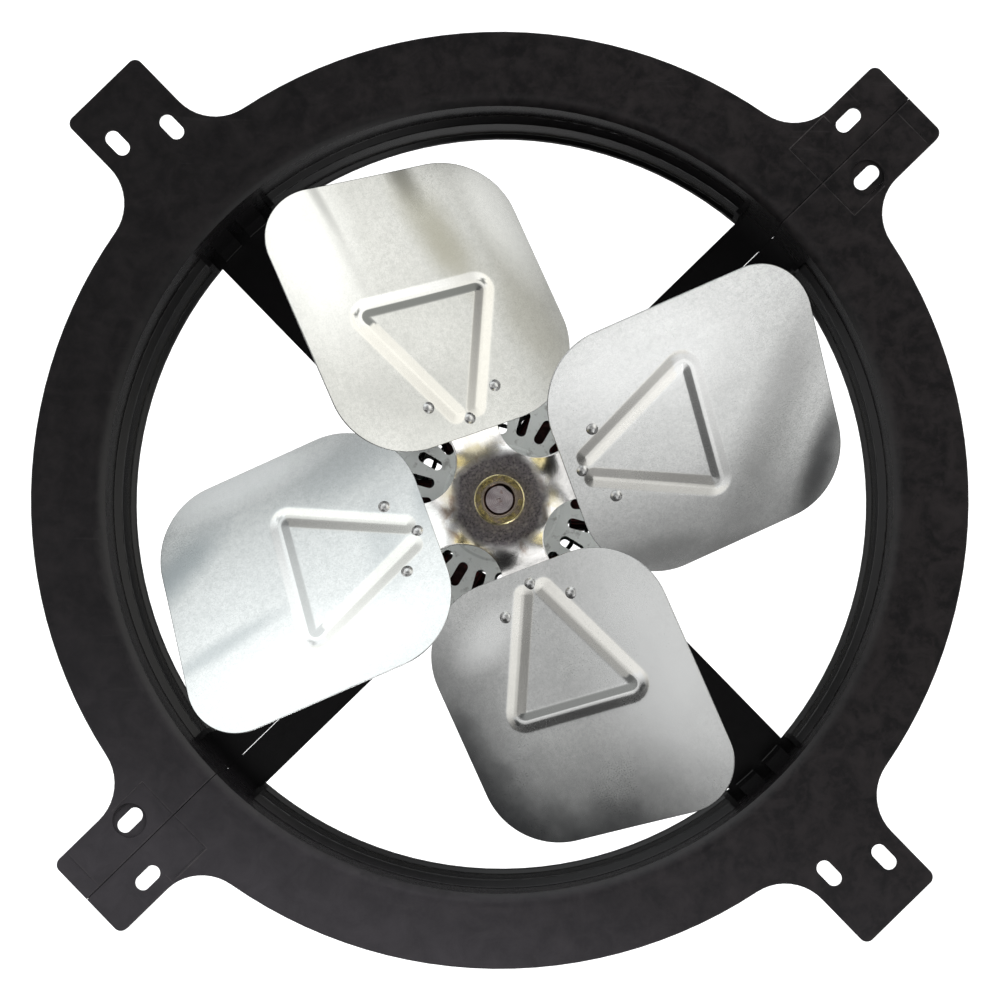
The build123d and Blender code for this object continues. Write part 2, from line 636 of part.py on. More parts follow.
def vents(depth, through):
    """The ring of long slots in an end bell, cut through a depth."""
    middle = (VENT_IN + VENT_OUT) / 2
    with BuildSketch(front(depth)) as slots:
        with PolarLocations(middle, VENT_COUNT):
            SlotOverall(VENT_OUT - VENT_IN, VENT_W)
    extrude(slots.sketch, amount=-through, mode=Mode.SUBTRACT)


BOSS_R = 16.0
BELL_STEP_R = 29.4                # the front bell's raised middle
BELL_STEP = 1.3
FELT_R = 13.6
FRONT_BOSS_START = 65.0
FRONT_BOSS_END = 83.0
FELT_FRONT = (71.5, 79.5)
REAR_BOSS_START = 127.5
FELT_REAR = (131.0, 138.0)
LUG_R = 7.0
ROUND_EDGE = 4.0
GROMMET_R = 4.0
GROMMET_BORE_R = 2.2
GROMMET_LIP = 1.2
GROMMET_AT = (-90.0, 52.8)        # angle and radius of the lead's hole in the rear bell

with BuildPart() as front_bell:
    with BuildSketch(Plane.XY):
        with BuildLine():
            y0, y1 = FRONT_BELL_FACE, FRONT_BELL_FACE + BELL_T
            skirt_end = FRONT_BELL_FACE + SKIRT
            l1 = Polyline((BEARING_R, FRONT_BOSS_START), (BOSS_R - 1, FRONT_BOSS_START),
                          (BOSS_R, FRONT_BOSS_START + 1), (BOSS_R + 1, y0 - BELL_STEP),
                          (BELL_STEP_R - BELL_STEP, y0 - BELL_STEP), (BELL_STEP_R, y0),
                          (MOTOR_R - ROUND_EDGE, y0))
            l2 = RadiusArc(l1 @ 1, (MOTOR_R, y0 + ROUND_EDGE), -ROUND_EDGE)
            l3 = Polyline(l2 @ 1, (MOTOR_R, skirt_end), (SHELL_R + 0.05, skirt_end),
                          (SHELL_R + 0.05, skirt_end - 5), (SHELL_R - 0.6, skirt_end - 5),
                          (SHELL_R - 0.6, y1 + 2), (MOTOR_R - ROUND_EDGE - 0.6, y1),
                          (BOSS_R + 1, y1), (BOSS_R, FRONT_BOSS_END),
                          (FELT_R, FRONT_BOSS_END), (FELT_R, FELT_FRONT[0]),
                          (BEARING_R, FELT_FRONT[0]), (BEARING_R, FRONT_BOSS_START))
        make_face()
    revolve(axis=Axis.Y)
    with BuildSketch(front(ARM_FRONT + ARM_T)):
        with PolarLocations(BOLT_CIRCLE_R, 4, start_angle=45):
            Circle(LUG_R)
        Circle(MOTOR_R, mode=Mode.INTERSECT)
    extrude(amount=-(y1 - ARM_FRONT - ARM_T))
    vents(y0 - 1, BELL_T + 2)
    with BuildSketch(front(y0 - 8)):
        with PolarLocations(BOLT_CIRCLE_R, 4, start_angle=45):
            Circle(BOLT_HOLE_R)
    extrude(amount=-14, mode=Mode.SUBTRACT)
finish(front_bell, "motor_front_bell")

with BuildPart() as rear_bell:
    with BuildSketch(Plane.XY):
        with BuildLine():
            y0, y1 = REAR_BELL_FACE, REAR_BELL_FACE - BELL_T
            skirt_end = REAR_BELL_FACE - SKIRT
            l1 = Polyline((0, y0 + 3), (BOSS_R - 1, y0 + 3), (BOSS_R, y0 + 2),
                          (BOSS_R + 1, y0), (MOTOR_R - ROUND_EDGE, y0))
            l2 = RadiusArc(l1 @ 1, (MOTOR_R, y0 - ROUND_EDGE), ROUND_EDGE)
            l3 = Polyline(l2 @ 1, (MOTOR_R, skirt_end), (SHELL_R + 0.05, skirt_end),
                          (SHELL_R + 0.05, skirt_end + 5), (SHELL_R - 0.6, skirt_end + 5),
                          (SHELL_R - 0.6, y1 - 2), (MOTOR_R - ROUND_EDGE - 0.6, y1),
                          (BOSS_R + 1, y1), (BOSS_R, REAR_BOSS_START),
                          (FELT_R, REAR_BOSS_START), (FELT_R, FELT_REAR[1]),
                          (BEARING_R, FELT_REAR[1]), (BEARING_R, y0 + 1.4), (0, y0 + 1.4),
                          (0, y0 + 3))
        make_face()
    revolve(axis=Axis.Y)
    vents(y1 - 1, BELL_T + 2)
    with BuildSketch(front(y1 - 3)):
        with PolarLocations(BOLT_CIRCLE_R, 4, start_angle=45):
            Circle(BOLT_HOLE_R)
        with Locations(spot(*GROMMET_AT)):
            Circle(GROMMET_R)
    extrude(amount=-10, mode=Mode.SUBTRACT)
finish(rear_bell, "motor_rear_bell")

SHELL_START = FRONT_BELL_FACE + SKIRT - 5
SHELL_END = REAR_BELL_FACE - SKIRT + 5

with BuildPart() as motor_shell:
    ring(SHELL_R - SHELL_T, SHELL_R, SHELL_START, SHELL_END)
finish(motor_shell, "motor_shell")

with BuildPart() as lead_grommet:
    for start, end, radius in (
        (REAR_BELL_FACE - BELL_T - 1.7, REAR_BELL_FACE - BELL_T - 0.05, GROMMET_R + GROMMET_LIP),
        (REAR_BELL_FACE - BELL_T - 0.05, REAR_BELL_FACE + 0.05, GROMMET_R - 0.05),
        (REAR_BELL_FACE + 0.05, REAR_BELL_FACE + 2.2, GROMMET_R + GROMMET_LIP),
    ):
        with BuildSketch(front(start)):
            with Locations(spot(*GROMMET_AT)):
                Circle(radius)
        extrude(amount=-(end - start))
    with BuildSketch(front(REAR_BELL_FACE - BELL_T - 3)):
        with Locations(spot(*GROMMET_AT)):
            Circle(GROMMET_BORE_R)
    extrude(amount=-8, mode=Mode.SUBTRACT)
finish(lead_grommet, "lead_grommet")

# stator: six teeth at 0, 60, 120 ... degrees, so that air and light pass between them
CORE_R = SHELL_R - SHELL_T - 0.1
YOKE_R = 50.5
TOOTH_W = 11.0
AIR_GAP_R = 29.6
SHOE_R = 33.0
BOBBIN_T = 0.6
COIL_BUILD = 6.0
COIL_IN = 35.0
COIL_OUT = 47.3

with BuildPart() as stator_core:
    with BuildSketch(front(STACK_FRONT)):
        Circle(CORE_R)
        Circle(YOKE_R, mode=Mode.SUBTRACT)
        with PolarLocations(0, POLES):
            with Locations((AIR_GAP_R, 0)):
                Rectangle(YOKE_R - AIR_GAP_R + 2, TOOTH_W, align=(Align.MIN, Align.CENTER))
        with BuildSketch(mode=Mode.PRIVATE) as shoes:
            Circle(SHOE_R)
            with PolarLocations(0, POLES, start_angle=180 / POLES):
                with Locations((AIR_GAP_R - 4, 0)):
                    Rectangle(12, 5.0, align=(Align.MIN, Align.CENTER), mode=Mode.SUBTRACT)
        add(shoes.sketch)
        Circle(AIR_GAP_R, mode=Mode.SUBTRACT)
        with PolarLocations(BOLT_CIRCLE_R + 0.6, 4, start_angle=45):
            Circle(3.4, mode=Mode.SUBTRACT)
    extrude(amount=-STACK_LENGTH)
finish(stator_core, "stator_core")


def coil_frame(angle, inner_r, outer_r, hole, build):
    """A closed winding or bobbin round one tooth, between two radii."""
    middle = STACK_FRONT + STACK_LENGTH / 2
    half_l = STACK_LENGTH / 2 + hole
    half_w = TOOTH_W / 2 + hole
    with BuildSketch(section(angle, inner_r, middle)) as frame:
        RectangleRounded(2 * (half_w + build), 2 * (half_l + build), max(build, 1.0) * 0.8)
        Rectangle(2 * half_w, 2 * half_l, mode=Mode.SUBTRACT)
    extrude(frame.sketch, amount=outer_r - inner_r)


tooth_angles = [360 / POLES * k for k in range(POLES)]

with BuildPart() as coil_bobbins:
    for angle in tooth_angles:
        coil_frame(angle, COIL_IN - 0.9, COIL_OUT + 0.9, 0.05, BOBBIN_T)
        coil_frame(angle, COIL_IN - 0.9, COIL_IN - 0.05, 0.05, BOBBIN_T + COIL_BUILD)
        coil_frame(angle, COIL_OUT + 0.05, COIL_OUT + 0.9, 0.05, BOBBIN_T + COIL_BUILD)
finish(coil_bobbins, "coil_bobbins")

with BuildPart() as stator_coils:
    for angle in tooth_angles:
        coil_frame(angle, COIL_IN, COIL_OUT, BOBBIN_T + 0.1, COIL_BUILD - 0.3)
finish(stator_coils, "stator_coils")

# rotor
ROTOR_CORE_R = 24.0
MAGNET_R = 28.6
MAGNETS = 8

with BuildPart() as rotor_core:
    ring(SHAFT_R, ROTOR_CORE_R, STACK_FRONT + 1, STACK_BACK - 1)
    with BuildSketch(front(STACK_FRONT)):
        with PolarLocations(15.5, MAGNETS):
            Circle(3.0)
    extrude(amount=-(STACK_LENGTH + 1), mode=Mode.SUBTRACT)
finish(rotor_core, "rotor_core")

with BuildPart() as rotor_magnets:
    with BuildSketch(front(STACK_FRONT + 1)):
        Circle(MAGNET_R)
        Circle(ROTOR_CORE_R, mode=Mode.SUBTRACT)
        with PolarLocations(0, MAGNETS, start_angle=FIRST_BLADE_ANGLE):
            Rectangle(MAGNET_R + 4, 1.6, align=(Align.MIN, Align.CENTER), mode=Mode.SUBTRACT)
    extrude(amount=-(STACK_LENGTH - 2))
finish(rotor_magnets, "rotor_magnets")

# bearings, felts, thrust washers and snap rings
FRONT_BEARING = (66.0, 82.5)
REAR_BEARING = (REAR_STEP + 3.3, 139.5)

with BuildPart() as front_bearing:
    ring(SHAFT_R + BEARING_FIT, BEARING_R, *FRONT_BEARING)
finish(front_bearing, "front_bearing")

with BuildPart() as rear_bearing:
    ring(REAR_SHAFT_R + BEARING_FIT, BEARING_R, *REAR_BEARING)
finish(rear_bearing, "rear_bearing")

with BuildPart() as front_oil_felt:
    ring(BEARING_R, FELT_R, *FELT_FRONT)
finish(front_oil_felt, "front_oil_felt")

with BuildPart() as rear_oil_felt:
    ring(BEARING_R, FELT_R, *FELT_REAR)
finish(rear_oil_felt, "rear_oil_felt")

with BuildPart() as front_thrust_washer:
    ring(SHAFT_R + 0.1, 10.5, FRONT_BEARING[1] + 0.3, FRONT_RING_AT - 0.1)
finish(front_thrust_washer, "front_thrust_washer")

with BuildPart() as rear_thrust_washer:
    ring(REAR_SHAFT_R + 0.1, 9.5, REAR_RING_AT + RING_T + 0.1, REAR_BEARING[0] - 0.3)
finish(rear_thrust_washer, "rear_thrust_washer")

with BuildPart() as snap_ring:
    ring(RING_GROOVE_R + 0.02, 9.4, FRONT_RING_AT + 0.02, FRONT_RING_AT + RING_T - 0.02)
    with BuildSketch(outline(90, FRONT_RING_AT - 1)):
        Rectangle(12, 7, align=(Align.MIN, Align.CENTER))
    extrude(amount=-4, mode=Mode.SUBTRACT)
finish(snap_ring, "snap_ring")

# control board on the inside of the rear bell
BOARD_FRONT = REAR_BOSS_START - 3.6
BOARD_T = 1.6
BOARD_R = 29.0
STANDOFF_R = 24.5

with BuildPart() as control_board:
    ring(17.5, BOARD_R, BOARD_FRONT, BOARD_FRONT + BOARD_T)
    with BuildSketch(front(BOARD_FRONT)):
        with PolarLocations(STANDOFF_R, 3, start_angle=30):
            Circle(1.6)
    extrude(amount=-BOARD_T, mode=Mode.SUBTRACT)
finish(control_board, "control_board")

with BuildPart() as board_standoffs:
    with BuildSketch(front(BOARD_FRONT + BOARD_T)):
        with PolarLocations(STANDOFF_R, 3, start_angle=30):
            Circle(2.8)
    extrude(amount=-(REAR_BELL_FACE - BELL_T - BOARD_FRONT - BOARD_T))
    with BuildSketch(front(BOARD_FRONT)):
        with PolarLocations(STANDOFF_R, 3, start_angle=30):
            Circle(1.5)
    extrude(amount=-BOARD_T)
finish(board_standoffs, "board_standoffs")

with BuildPart() as board_components:
    with BuildSketch(front(BOARD_FRONT + BOARD_T)):
        with Locations(spot(90, 23.5), spot(210, 23.5)):
            Circle(3.9)
    extrude(amount=-9.5)
    with BuildSketch(front(BOARD_FRONT + BOARD_T)):
        with PolarLocations(22.5, 3, start_angle=185):
            Rectangle(4.4, 6.2)
    extrude(amount=-1.6)
    with BuildSketch(front(BOARD_FRONT + BOARD_T)):
        with PolarLocations(24.0, 3, start_angle=0):
            Rectangle(2.4, 3.4)
    extrude(amount=-1.2)
finish(board_components, "board_components")

# long bolts from the rear bell, through the front bell and the arms' tabs
BOLT_HEAD_AT = REAR_BELL_FACE
NUT_END = 57.5
NUT_T = 3.6
WASHER_T = 0.8

with BuildPart() as through_bolts:
    with BuildSketch(front(NUT_END - 1.2)):
        with PolarLocations(BOLT_CIRCLE_R, 4, start_angle=45):
            Circle(BOLT_R)
    extrude(amount=-(BOLT_HEAD_AT - NUT_END + 1.2))
    with BuildSketch(front(BOLT_HEAD_AT)):
        with PolarLocations(BOLT_CIRCLE_R, 4, start_angle=45):
            RegularPolygon(4.0, 6, major_radius=False)
    extrude(amount=-3.5)
finish(through_bolts, "through_bolts")

with BuildPart() as arm_washers:
    with BuildSketch(front(ARM_FRONT - WASHER_T)):
        with PolarLocations(BOLT_CIRCLE_R, 4, start_angle=45):
            Circle(5.5)
            Circle(BOLT_R + 0.15, mode=Mode.SUBTRACT)
    extrude(amount=-WASHER_T)
finish(arm_washers, "arm_washers")

with BuildPart() as arm_nuts:
    with BuildSketch(front(ARM_FRONT - WASHER_T - NUT_T)):
        with PolarLocations(BOLT_CIRCLE_R, 4, start_angle=45):
            RegularPolygon(4.0, 6, major_radius=False)
            Circle(BOLT_R + 0.02, mode=Mode.SUBTRACT)
    extrude(amount=-NUT_T)
finish(arm_nuts, "arm_nuts")
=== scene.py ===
import json
from math import atan2, cos, pi, radians, sin, sqrt, tan

import bpy
from mathutils import Matrix, Vector
from mathutils.geometry import delaunay_2d_cdt


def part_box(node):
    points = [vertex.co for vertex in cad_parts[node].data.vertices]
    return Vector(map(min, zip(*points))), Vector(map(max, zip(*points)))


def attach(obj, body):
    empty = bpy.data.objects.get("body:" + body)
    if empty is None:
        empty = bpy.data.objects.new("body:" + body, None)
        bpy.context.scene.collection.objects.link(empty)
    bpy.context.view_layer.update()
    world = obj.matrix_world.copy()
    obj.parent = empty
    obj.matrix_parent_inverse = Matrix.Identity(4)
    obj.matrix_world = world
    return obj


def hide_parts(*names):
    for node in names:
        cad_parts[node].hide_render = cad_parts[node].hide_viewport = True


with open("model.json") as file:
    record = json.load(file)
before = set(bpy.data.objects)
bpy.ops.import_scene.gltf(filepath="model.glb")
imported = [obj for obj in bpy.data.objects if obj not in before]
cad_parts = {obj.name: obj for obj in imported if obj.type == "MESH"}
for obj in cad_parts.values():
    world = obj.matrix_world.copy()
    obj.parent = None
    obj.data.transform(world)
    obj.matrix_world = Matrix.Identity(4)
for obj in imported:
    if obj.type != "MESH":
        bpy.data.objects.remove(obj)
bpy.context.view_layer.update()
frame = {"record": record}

# Gable attic fan. Metres, in the CAD's frame: the fan's axis is Y, the viewer is on the -Y
# side, +Z is up. Drawing sizes below are in millimetres and turned into metres by MM.
MM = 0.001
scene = bpy.context.scene


# ------------------------------------------------------------------ camera and view
def make_camera():
    """A long lens a little to the right of the axis and below it, rolled slightly."""
    distance, right, below = 1.70, 0.0267, 0.060
    data = bpy.data.cameras.new("camera")
    data.lens = 128.57
    data.sensor_width = 36.0
    data.clip_start = 0.05
    data.clip_end = 50.0
    cam = bpy.data.objects.new("camera", data)
    scene.collection.objects.link(cam)
    place = Vector((right, -distance, -below))
    aim = Vector((0.00058, 0.0, -0.00088))
    ahead = (aim - place).normalized()
    across = ahead.cross(Vector((0, 0, 1))).normalized()
    up = across.cross(ahead).normalized()
    roll = radians(0.75)
    across, up = (across * cos(roll) + up * sin(roll), up * cos(roll) - across * sin(roll))
    turn = Matrix((across, up, -ahead)).transposed().to_4x4()
    cam.matrix_world = Matrix.Translation(place) @ turn
    scene.camera = cam


make_camera()
scene.view_settings.view_transform = "Standard"
scene.view_settings.look = "None"


# ------------------------------------------------------------------ node helpers
class Nodes:
    """A material under construction, with short calls for the nodes used here."""

    def __init__(self, name):
        self.mat = bpy.data.materials.new(name)
        self.mat.use_nodes = True
        self.tree = self.mat.node_tree
        self.tree.nodes.clear()
        self.out = self.tree.nodes.new("ShaderNodeOutputMaterial")
        self.bsdf = self.tree.nodes.new("ShaderNodeBsdfPrincipled")
        self.tree.links.new(self.bsdf.outputs[0], self.out.inputs[0])
        self.coord = self.tree.nodes.new("ShaderNodeTexCoord").outputs["Object"]

    def put(self, socket, value):
        if isinstance(value, bpy.types.NodeSocket):
            self.tree.links.new(value, socket)
        else:
            socket.default_value = value

    def shader(self, **values):
        for key, value in values.items():
            self.put(self.bsdf.inputs[key.replace("_", " ")], value)

    def mapping(self, scale=(1, 1, 1), move=(0, 0, 0), turn=(0, 0, 0), source=None):
        node = self.tree.nodes.new("ShaderNodeMapping")
        self.put(node.inputs["Vector"], source or self.coord)
        node.inputs["Location"].default_value = move
        node.inputs["Rotation"].default_value = turn
        node.inputs["Scale"].default_value = scale
        return node.outputs[0]

    def noise(self, scale, detail=4.0, rough=0.55, source=None, warp=0.0):
        node = self.tree.nodes.new("ShaderNodeTexNoise")
        self.put(node.inputs["Vector"], source or self.coord)
        node.inputs["Scale"].default_value = scale
        node.inputs["Detail"].default_value = detail
        node.inputs["Roughness"].default_value = rough
        node.inputs["Distortion"].default_value = warp
        return node.outputs["Fac"]

    def cells(self, scale, source=None):
        """Distance to the nearest of a field of scattered points."""
        node = self.tree.nodes.new("ShaderNodeTexVoronoi")
        self.put(node.inputs["Vector"], source or self.coord)
        node.inputs["Scale"].default_value = scale
        return node.outputs["Distance"]

    def bands(self, scale, warp=0.0):
        """Even ridges, one after another along the fan's axis."""
        node = self.tree.nodes.new("ShaderNodeTexWave")
        node.bands_direction = "Y"
        self.put(node.inputs["Vector"], self.coord)
        node.inputs["Scale"].default_value = scale
        node.inputs["Distortion"].default_value = warp
        return node.outputs["Fac"]

    def ramp(self, fac, *stops, ease="LINEAR"):
        """Stops are (place, grey or colour)."""
        node = self.tree.nodes.new("ShaderNodeValToRGB")
        node.color_ramp.interpolation = ease
        self.put(node.inputs[0], fac)
        marks = node.color_ramp.elements
        while len(marks) < len(stops):
            marks.new(0.5)
        for mark, (place, tone) in zip(marks, stops):
            mark.position = place
            mark.color = (tone, tone, tone, 1) if isinstance(tone, (int, float)) else (*tone, 1)
        return node.outputs[0]

    def math(self, what, a, b=0.0, c=0.0, clamp=False):
        node = self.tree.nodes.new("ShaderNodeMath")
        node.operation = what
        node.use_clamp = clamp
        for socket, value in zip(node.inputs, (a, b, c)):
            self.put(socket, value)
        return node.outputs[0]

    def times(self, a, b):
        return self.math("MULTIPLY", a, b)

    def plus(self, a, b):
        return self.math("ADD", a, b)

    def minus(self, a, b, clamp=False):
        return self.math("SUBTRACT", a, b, clamp=clamp)

    def length(self, a, b):
        """Length of the flat vector (a, b)."""
        return self.math("SQRT", self.plus(self.times(a, a), self.times(b, b)))

    def mix(self, fac, a, b):
        """Colour a where fac is 0 and colour b where it is 1."""
        node = self.tree.nodes.new("ShaderNodeMix")
        node.data_type = "RGBA"
        self.put(node.inputs["Factor"], fac)
        for socket, value in zip((node.inputs[6], node.inputs[7]), (a, b)):
            self.put(socket, (*value, 1) if isinstance(value, tuple) else value)
        return node.outputs[2]

    def parts(self, source=None):
        node = self.tree.nodes.new("ShaderNodeSeparateXYZ")
        self.put(node.inputs[0], source or self.coord)
        return node.outputs

    def bump(self, height, strength, distance, normal=None):
        node = self.tree.nodes.new("ShaderNodeBump")
        node.inputs["Strength"].default_value = strength
        node.inputs["Distance"].default_value = distance
        self.put(node.inputs["Height"], height)
        if normal is not None:
            self.put(node.inputs["Normal"], normal)
        return node.outputs[0]

    def spot(self, centre, angle, half_length, half_width, ragged):
        """1 at a centre, falling softly to 0 at an ellipse. Millimetres, in the object's own
        first two axes; ragged moves the edge about."""
        x, y, _ = self.parts()
        a = radians(angle)
        x = self.minus(x, centre[0] * MM)
        y = self.minus(y, centre[1] * MM)
        along = self.plus(self.times(x, cos(a) / (half_length * MM)),
                          self.times(y, sin(a) / (half_length * MM)))
        over = self.minus(self.times(y, cos(a) / (half_width * MM)),
                          self.times(x, sin(a) / (half_width * MM)))
        square = self.plus(self.times(along, along), self.times(over, over))
        wander = self.minus(self.noise(40, 3, 0.6), 0.5)
        square = self.plus(square, self.times(wander, ragged))
        return self.ramp(square, (0.0, 1.0), (0.35, 0.55), (1.0, 0.0), ease="B_SPLINE")

    def radius(self):
        """Distance from the fan's axis, in metres."""
        x, _, z = self.parts()
        return self.length(x, z)


# ------------------------------------------------------------------ materials
THROAT_EDGE = 187.7                # radius where the flange's front turns into the throat


def shroud_plastic():
    """Black moulded plastic: satin, mottled and lighter low down on the flange, glossier inside
    the throat, with painted highlights along the lap joint's edges on the two seam ears."""
    n = Nodes("shroud_plastic")
    x, _, z = n.parts()
    broad = n.noise(11, 5, 0.6)
    cloud = n.noise(75, 6, 0.68, warp=0.6)
    patches = n.noise(240, 4, 0.6, warp=0.3)
    grain = n.noise(900, 3, 0.6)
    base = n.ramp(broad, (0.3, (0.0012, 0.0009, 0.0011)), (0.7, (0.0032, 0.0025, 0.0028)))
    right = n.ramp(n.math("MULTIPLY_ADD", x, 1.6, n.plus(broad, -0.1)), (0.15, 0.35), (0.6, 1.0))
    mottle = n.times(n.ramp(cloud, (0.42, 0.0), (0.66, 1.0)), right)
    base = n.mix(mottle, base, (0.0165, 0.0128, 0.0130))
    mottle = n.times(n.ramp(patches, (0.46, 0.0), (0.64, 0.8)), right)
    base = n.mix(mottle, base, (0.0150, 0.0120, 0.0122))
    specks = n.times(n.ramp(n.cells(620), (0.02, 1.0), (0.07, 0.0)),
                     n.ramp(n.noise(70, 3), (0.52, 0.0), (0.66, 0.55)))
    base = n.mix(specks, base, (0.08, 0.077, 0.075))
    # lighter towards the bottom and the lower left, in cloudy patches
    low = n.minus(n.times(z, -1.0), n.times(x, 0.3))
    lighter_low = n.ramp(n.math("MULTIPLY_ADD", low, 2.6, -0.05), (0.0, 0.04), (0.25, 0.12),
                  (0.40, 0.30), (0.52, 0.65))
    base = n.mix(n.times(lighter_low, n.ramp(cloud, (0.25, 0.65), (0.7, 1.0))), base,
                 (0.0800, 0.0740, 0.0840))
    # scuffs: short fine arcs here and there
    rubs = n.noise(60, 3, 0.5, source=n.mapping(scale=(0.35, 1, 6), turn=(0, 0.7, 0)))
    rubs = n.times(n.ramp(rubs, (0.64, 0.0), (0.69, 1.0)),
                   n.ramp(n.noise(14, 2), (0.5, 0.0), (0.62, 1.0)))
    base = n.mix(n.times(rubs, 0.18), base, (0.05, 0.047, 0.048))
    inside = n.ramp(n.radius(), ((THROAT_EDGE - 0.5) * MM, 1.0), ((THROAT_EDGE + 0.5) * MM, 0.0))
    base = n.mix(inside, base, (0.0022, 0.0020, 0.0022))
    lap_highlights, groove = lap_highlights_and_seam(n, x, z)
    # painted highlights along the lap joint's edges
    base = n.mix(n.times(lap_highlights, 0.55), base, (0.105, 0.095, 0.095))
    base = n.mix(groove, base, (0.001, 0.001, 0.001))
    flange_rough = n.plus(n.times(cloud, 0.26), 0.26)
    throat_rough = n.plus(n.times(patches, 0.10), 0.16)
    rough = n.plus(n.times(inside, throat_rough), n.times(n.minus(1.0, inside), flange_rough))
    bump = n.bump(grain, 0.05, 0.0001)
    bump = n.bump(cloud, 0.03, 0.0005, bump)
    bump = n.bump(lap_highlights, 0.5, 0.0002, bump)
    n.shader(Base_Color=base, Roughness=rough, Normal=bump, IOR=1.34)
    return n.mat


# the lap joint's outline on a seam ear, drawn as painted highlight lines: (outward, sideways)
# from and to, in millimetres, and how bright the line is
LAP_LINES = [((215.6, 22.6), (238.5, 22.6), 1.0), ((215.6, -21.8), (215.6, 22.6), 0.55),
             ((215.6, -21.8), (236.0, -21.8), 0.9), ((238.5, 17.5), (238.5, 22.6), 0.9),
             ((264.6, -21.5), (264.6, -1.0), 0.55), ((254.8, 14.5), (254.8, 22.0), 0.25),
             ((189.0, -0.55), (272.0, -0.55), 0.6)]
SEAM_LINE = ((188.5, 0.0), (273.0, 0.0), 1.0)
LAP_WIDTH, SEAM_WIDTH = 0.36, 0.30          # half the width of a lap line and of the seam


def lap_highlights_and_seam(n, x, z):
    """The lap joint's edges as raised lines with painted highlights, in patches, and the dark
    seam itself, on both ears.
    """
    half = sqrt(0.5)
    reach = n.times(n.plus(x, z), half / MM)
    side = n.times(n.minus(z, x), half / MM)
    side = n.times(side, n.math("SIGN", reach))
    reach = n.math("ABSOLUTE", reach)
    patchiness = n.ramp(n.noise(260, 3, 0.6), (0.36, 0.25), (0.56, 1.0))

    def line(start, end, strength, width):
        flat = start[1] == end[1]
        over, along = (side, reach) if flat else (reach, side)
        level, low, high = (start[1], start[0], end[0]) if flat else (start[0], start[1], end[1])
        off = n.math("ABSOLUTE", n.minus(over, level))
        near = n.minus(1.0, n.math("DIVIDE", off, width), clamp=True)
        span = n.times(n.math("GREATER_THAN", along, low), n.math("LESS_THAN", along, high))
        return n.times(n.times(near, span), strength)

    total = 0.0
    for start, end, strength in LAP_LINES:
        total = n.math("MAXIMUM", total, line(start, end, strength, LAP_WIDTH))
    return n.times(total, patchiness), line(*SEAM_LINE, SEAM_WIDTH)


def motor_paint():
    """Light grey satin paint with orange peel, a little soiled."""
    n = Nodes("motor_paint")
    cloud = n.noise(55, 5, 0.6)
    base = n.ramp(cloud, (0.3, (0.66, 0.69, 0.67)), (0.7, (0.76, 0.79, 0.77)))
    soil = n.ramp(n.noise(240, 4, 0.6), (0.56, 0.0), (0.70, 0.6))
    base = n.mix(soil, base, (0.20, 0.19, 0.18))
    rough = n.plus(n.times(cloud, 0.2), 0.34)
    peel = n.bump(n.noise(1100, 2), 0.22, 0.0002)
    n.shader(Base_Color=base, Roughness=rough, Normal=peel)
    return n.mat


def galvanised(name, shift, painted_reflections, bead_shade):
    """Rolled zinc-coated sheet, satin: faint streaks along the rolling, fine grain, specks,
    and painted reflections, dark and light streaks painted into the colour (centre, angle,
    half length, half width, depth, tone). The last argument is how dark the painted shade
    on the bead's inner flank is."""
    n = Nodes(name)
    here = n.mapping(move=shift)
    streaks = n.noise(30, 5, 0.6, source=n.mapping(scale=(0.16, 1, 1), source=here))
    fine = n.noise(900, 3, 0.6, source=n.mapping(scale=(0.25, 1, 1), source=here))
    cloud = n.noise(22, 4, 0.55, source=here, warp=0.3)
    grain = n.noise(1300, 3, 0.7, source=here)
    blotch = n.noise(150, 4, 0.65, source=here, warp=0.4)
    base = n.ramp(cloud, (0.3, (0.58, 0.585, 0.57)), (0.7, (0.71, 0.715, 0.70)))
    base = n.mix(n.ramp(blotch, (0.44, 0.0), (0.72, 0.40)), base, (0.48, 0.49, 0.48))
    base = n.mix(n.ramp(streaks, (0.45, 0.0), (0.8, 0.4)), base, (0.76, 0.76, 0.75))
    base = n.mix(n.ramp(grain, (0.46, 0.0), (0.68, 0.42)), base, (0.36, 0.37, 0.36))
    speckle = n.noise(420, 4, 0.7, source=here)
    base = n.mix(n.ramp(speckle, (0.44, 0.0), (0.64, 0.38)), base, (0.42, 0.43, 0.42))
    pits = n.ramp(n.cells(420, source=here), (0.03, 1.0), (0.10, 0.0))
    pits = n.times(pits, n.ramp(n.noise(50, 3, source=here), (0.52, 0.0), (0.66, 0.6)))
    base = n.mix(pits, base, (0.25, 0.25, 0.24))
    # painted reflections: dark and light streaks painted into the base colour
    for centre, angle, length, width, depth, tone in painted_reflections:
        mask = n.times(n.spot(centre, angle, length, width, 0.5), depth)
        base = n.mix(mask, base, tone)
    marks = n.tree.nodes.new("ShaderNodeAttribute")
    marks.attribute_name = "bead_painted_light"
    painted_shade_part, warm_sheen_part, on_bead = n.parts(marks.outputs["Vector"])
    # the bead painted lighter as a painted highlight, a warm painted sheen on its legs, and
    # painted shade on its inner flank
    base = n.mix(n.times(on_bead, 0.45), base, (0.80, 0.80, 0.785))
    base = n.mix(n.times(warm_sheen_part, 0.35), base, (0.66, 0.62, 0.52))
    base = n.mix(n.times(painted_shade_part, bead_shade), base, (0.11, 0.115, 0.110))
    rough = n.plus(n.times(cloud, 0.10), 0.17)
    rough = n.plus(rough, n.times(grain, 0.08))
    n.shader(Base_Color=base, Metallic=1.0, Roughness=rough, Normal=n.bump(fine, 0.03, 0.0001))
    return n.mat


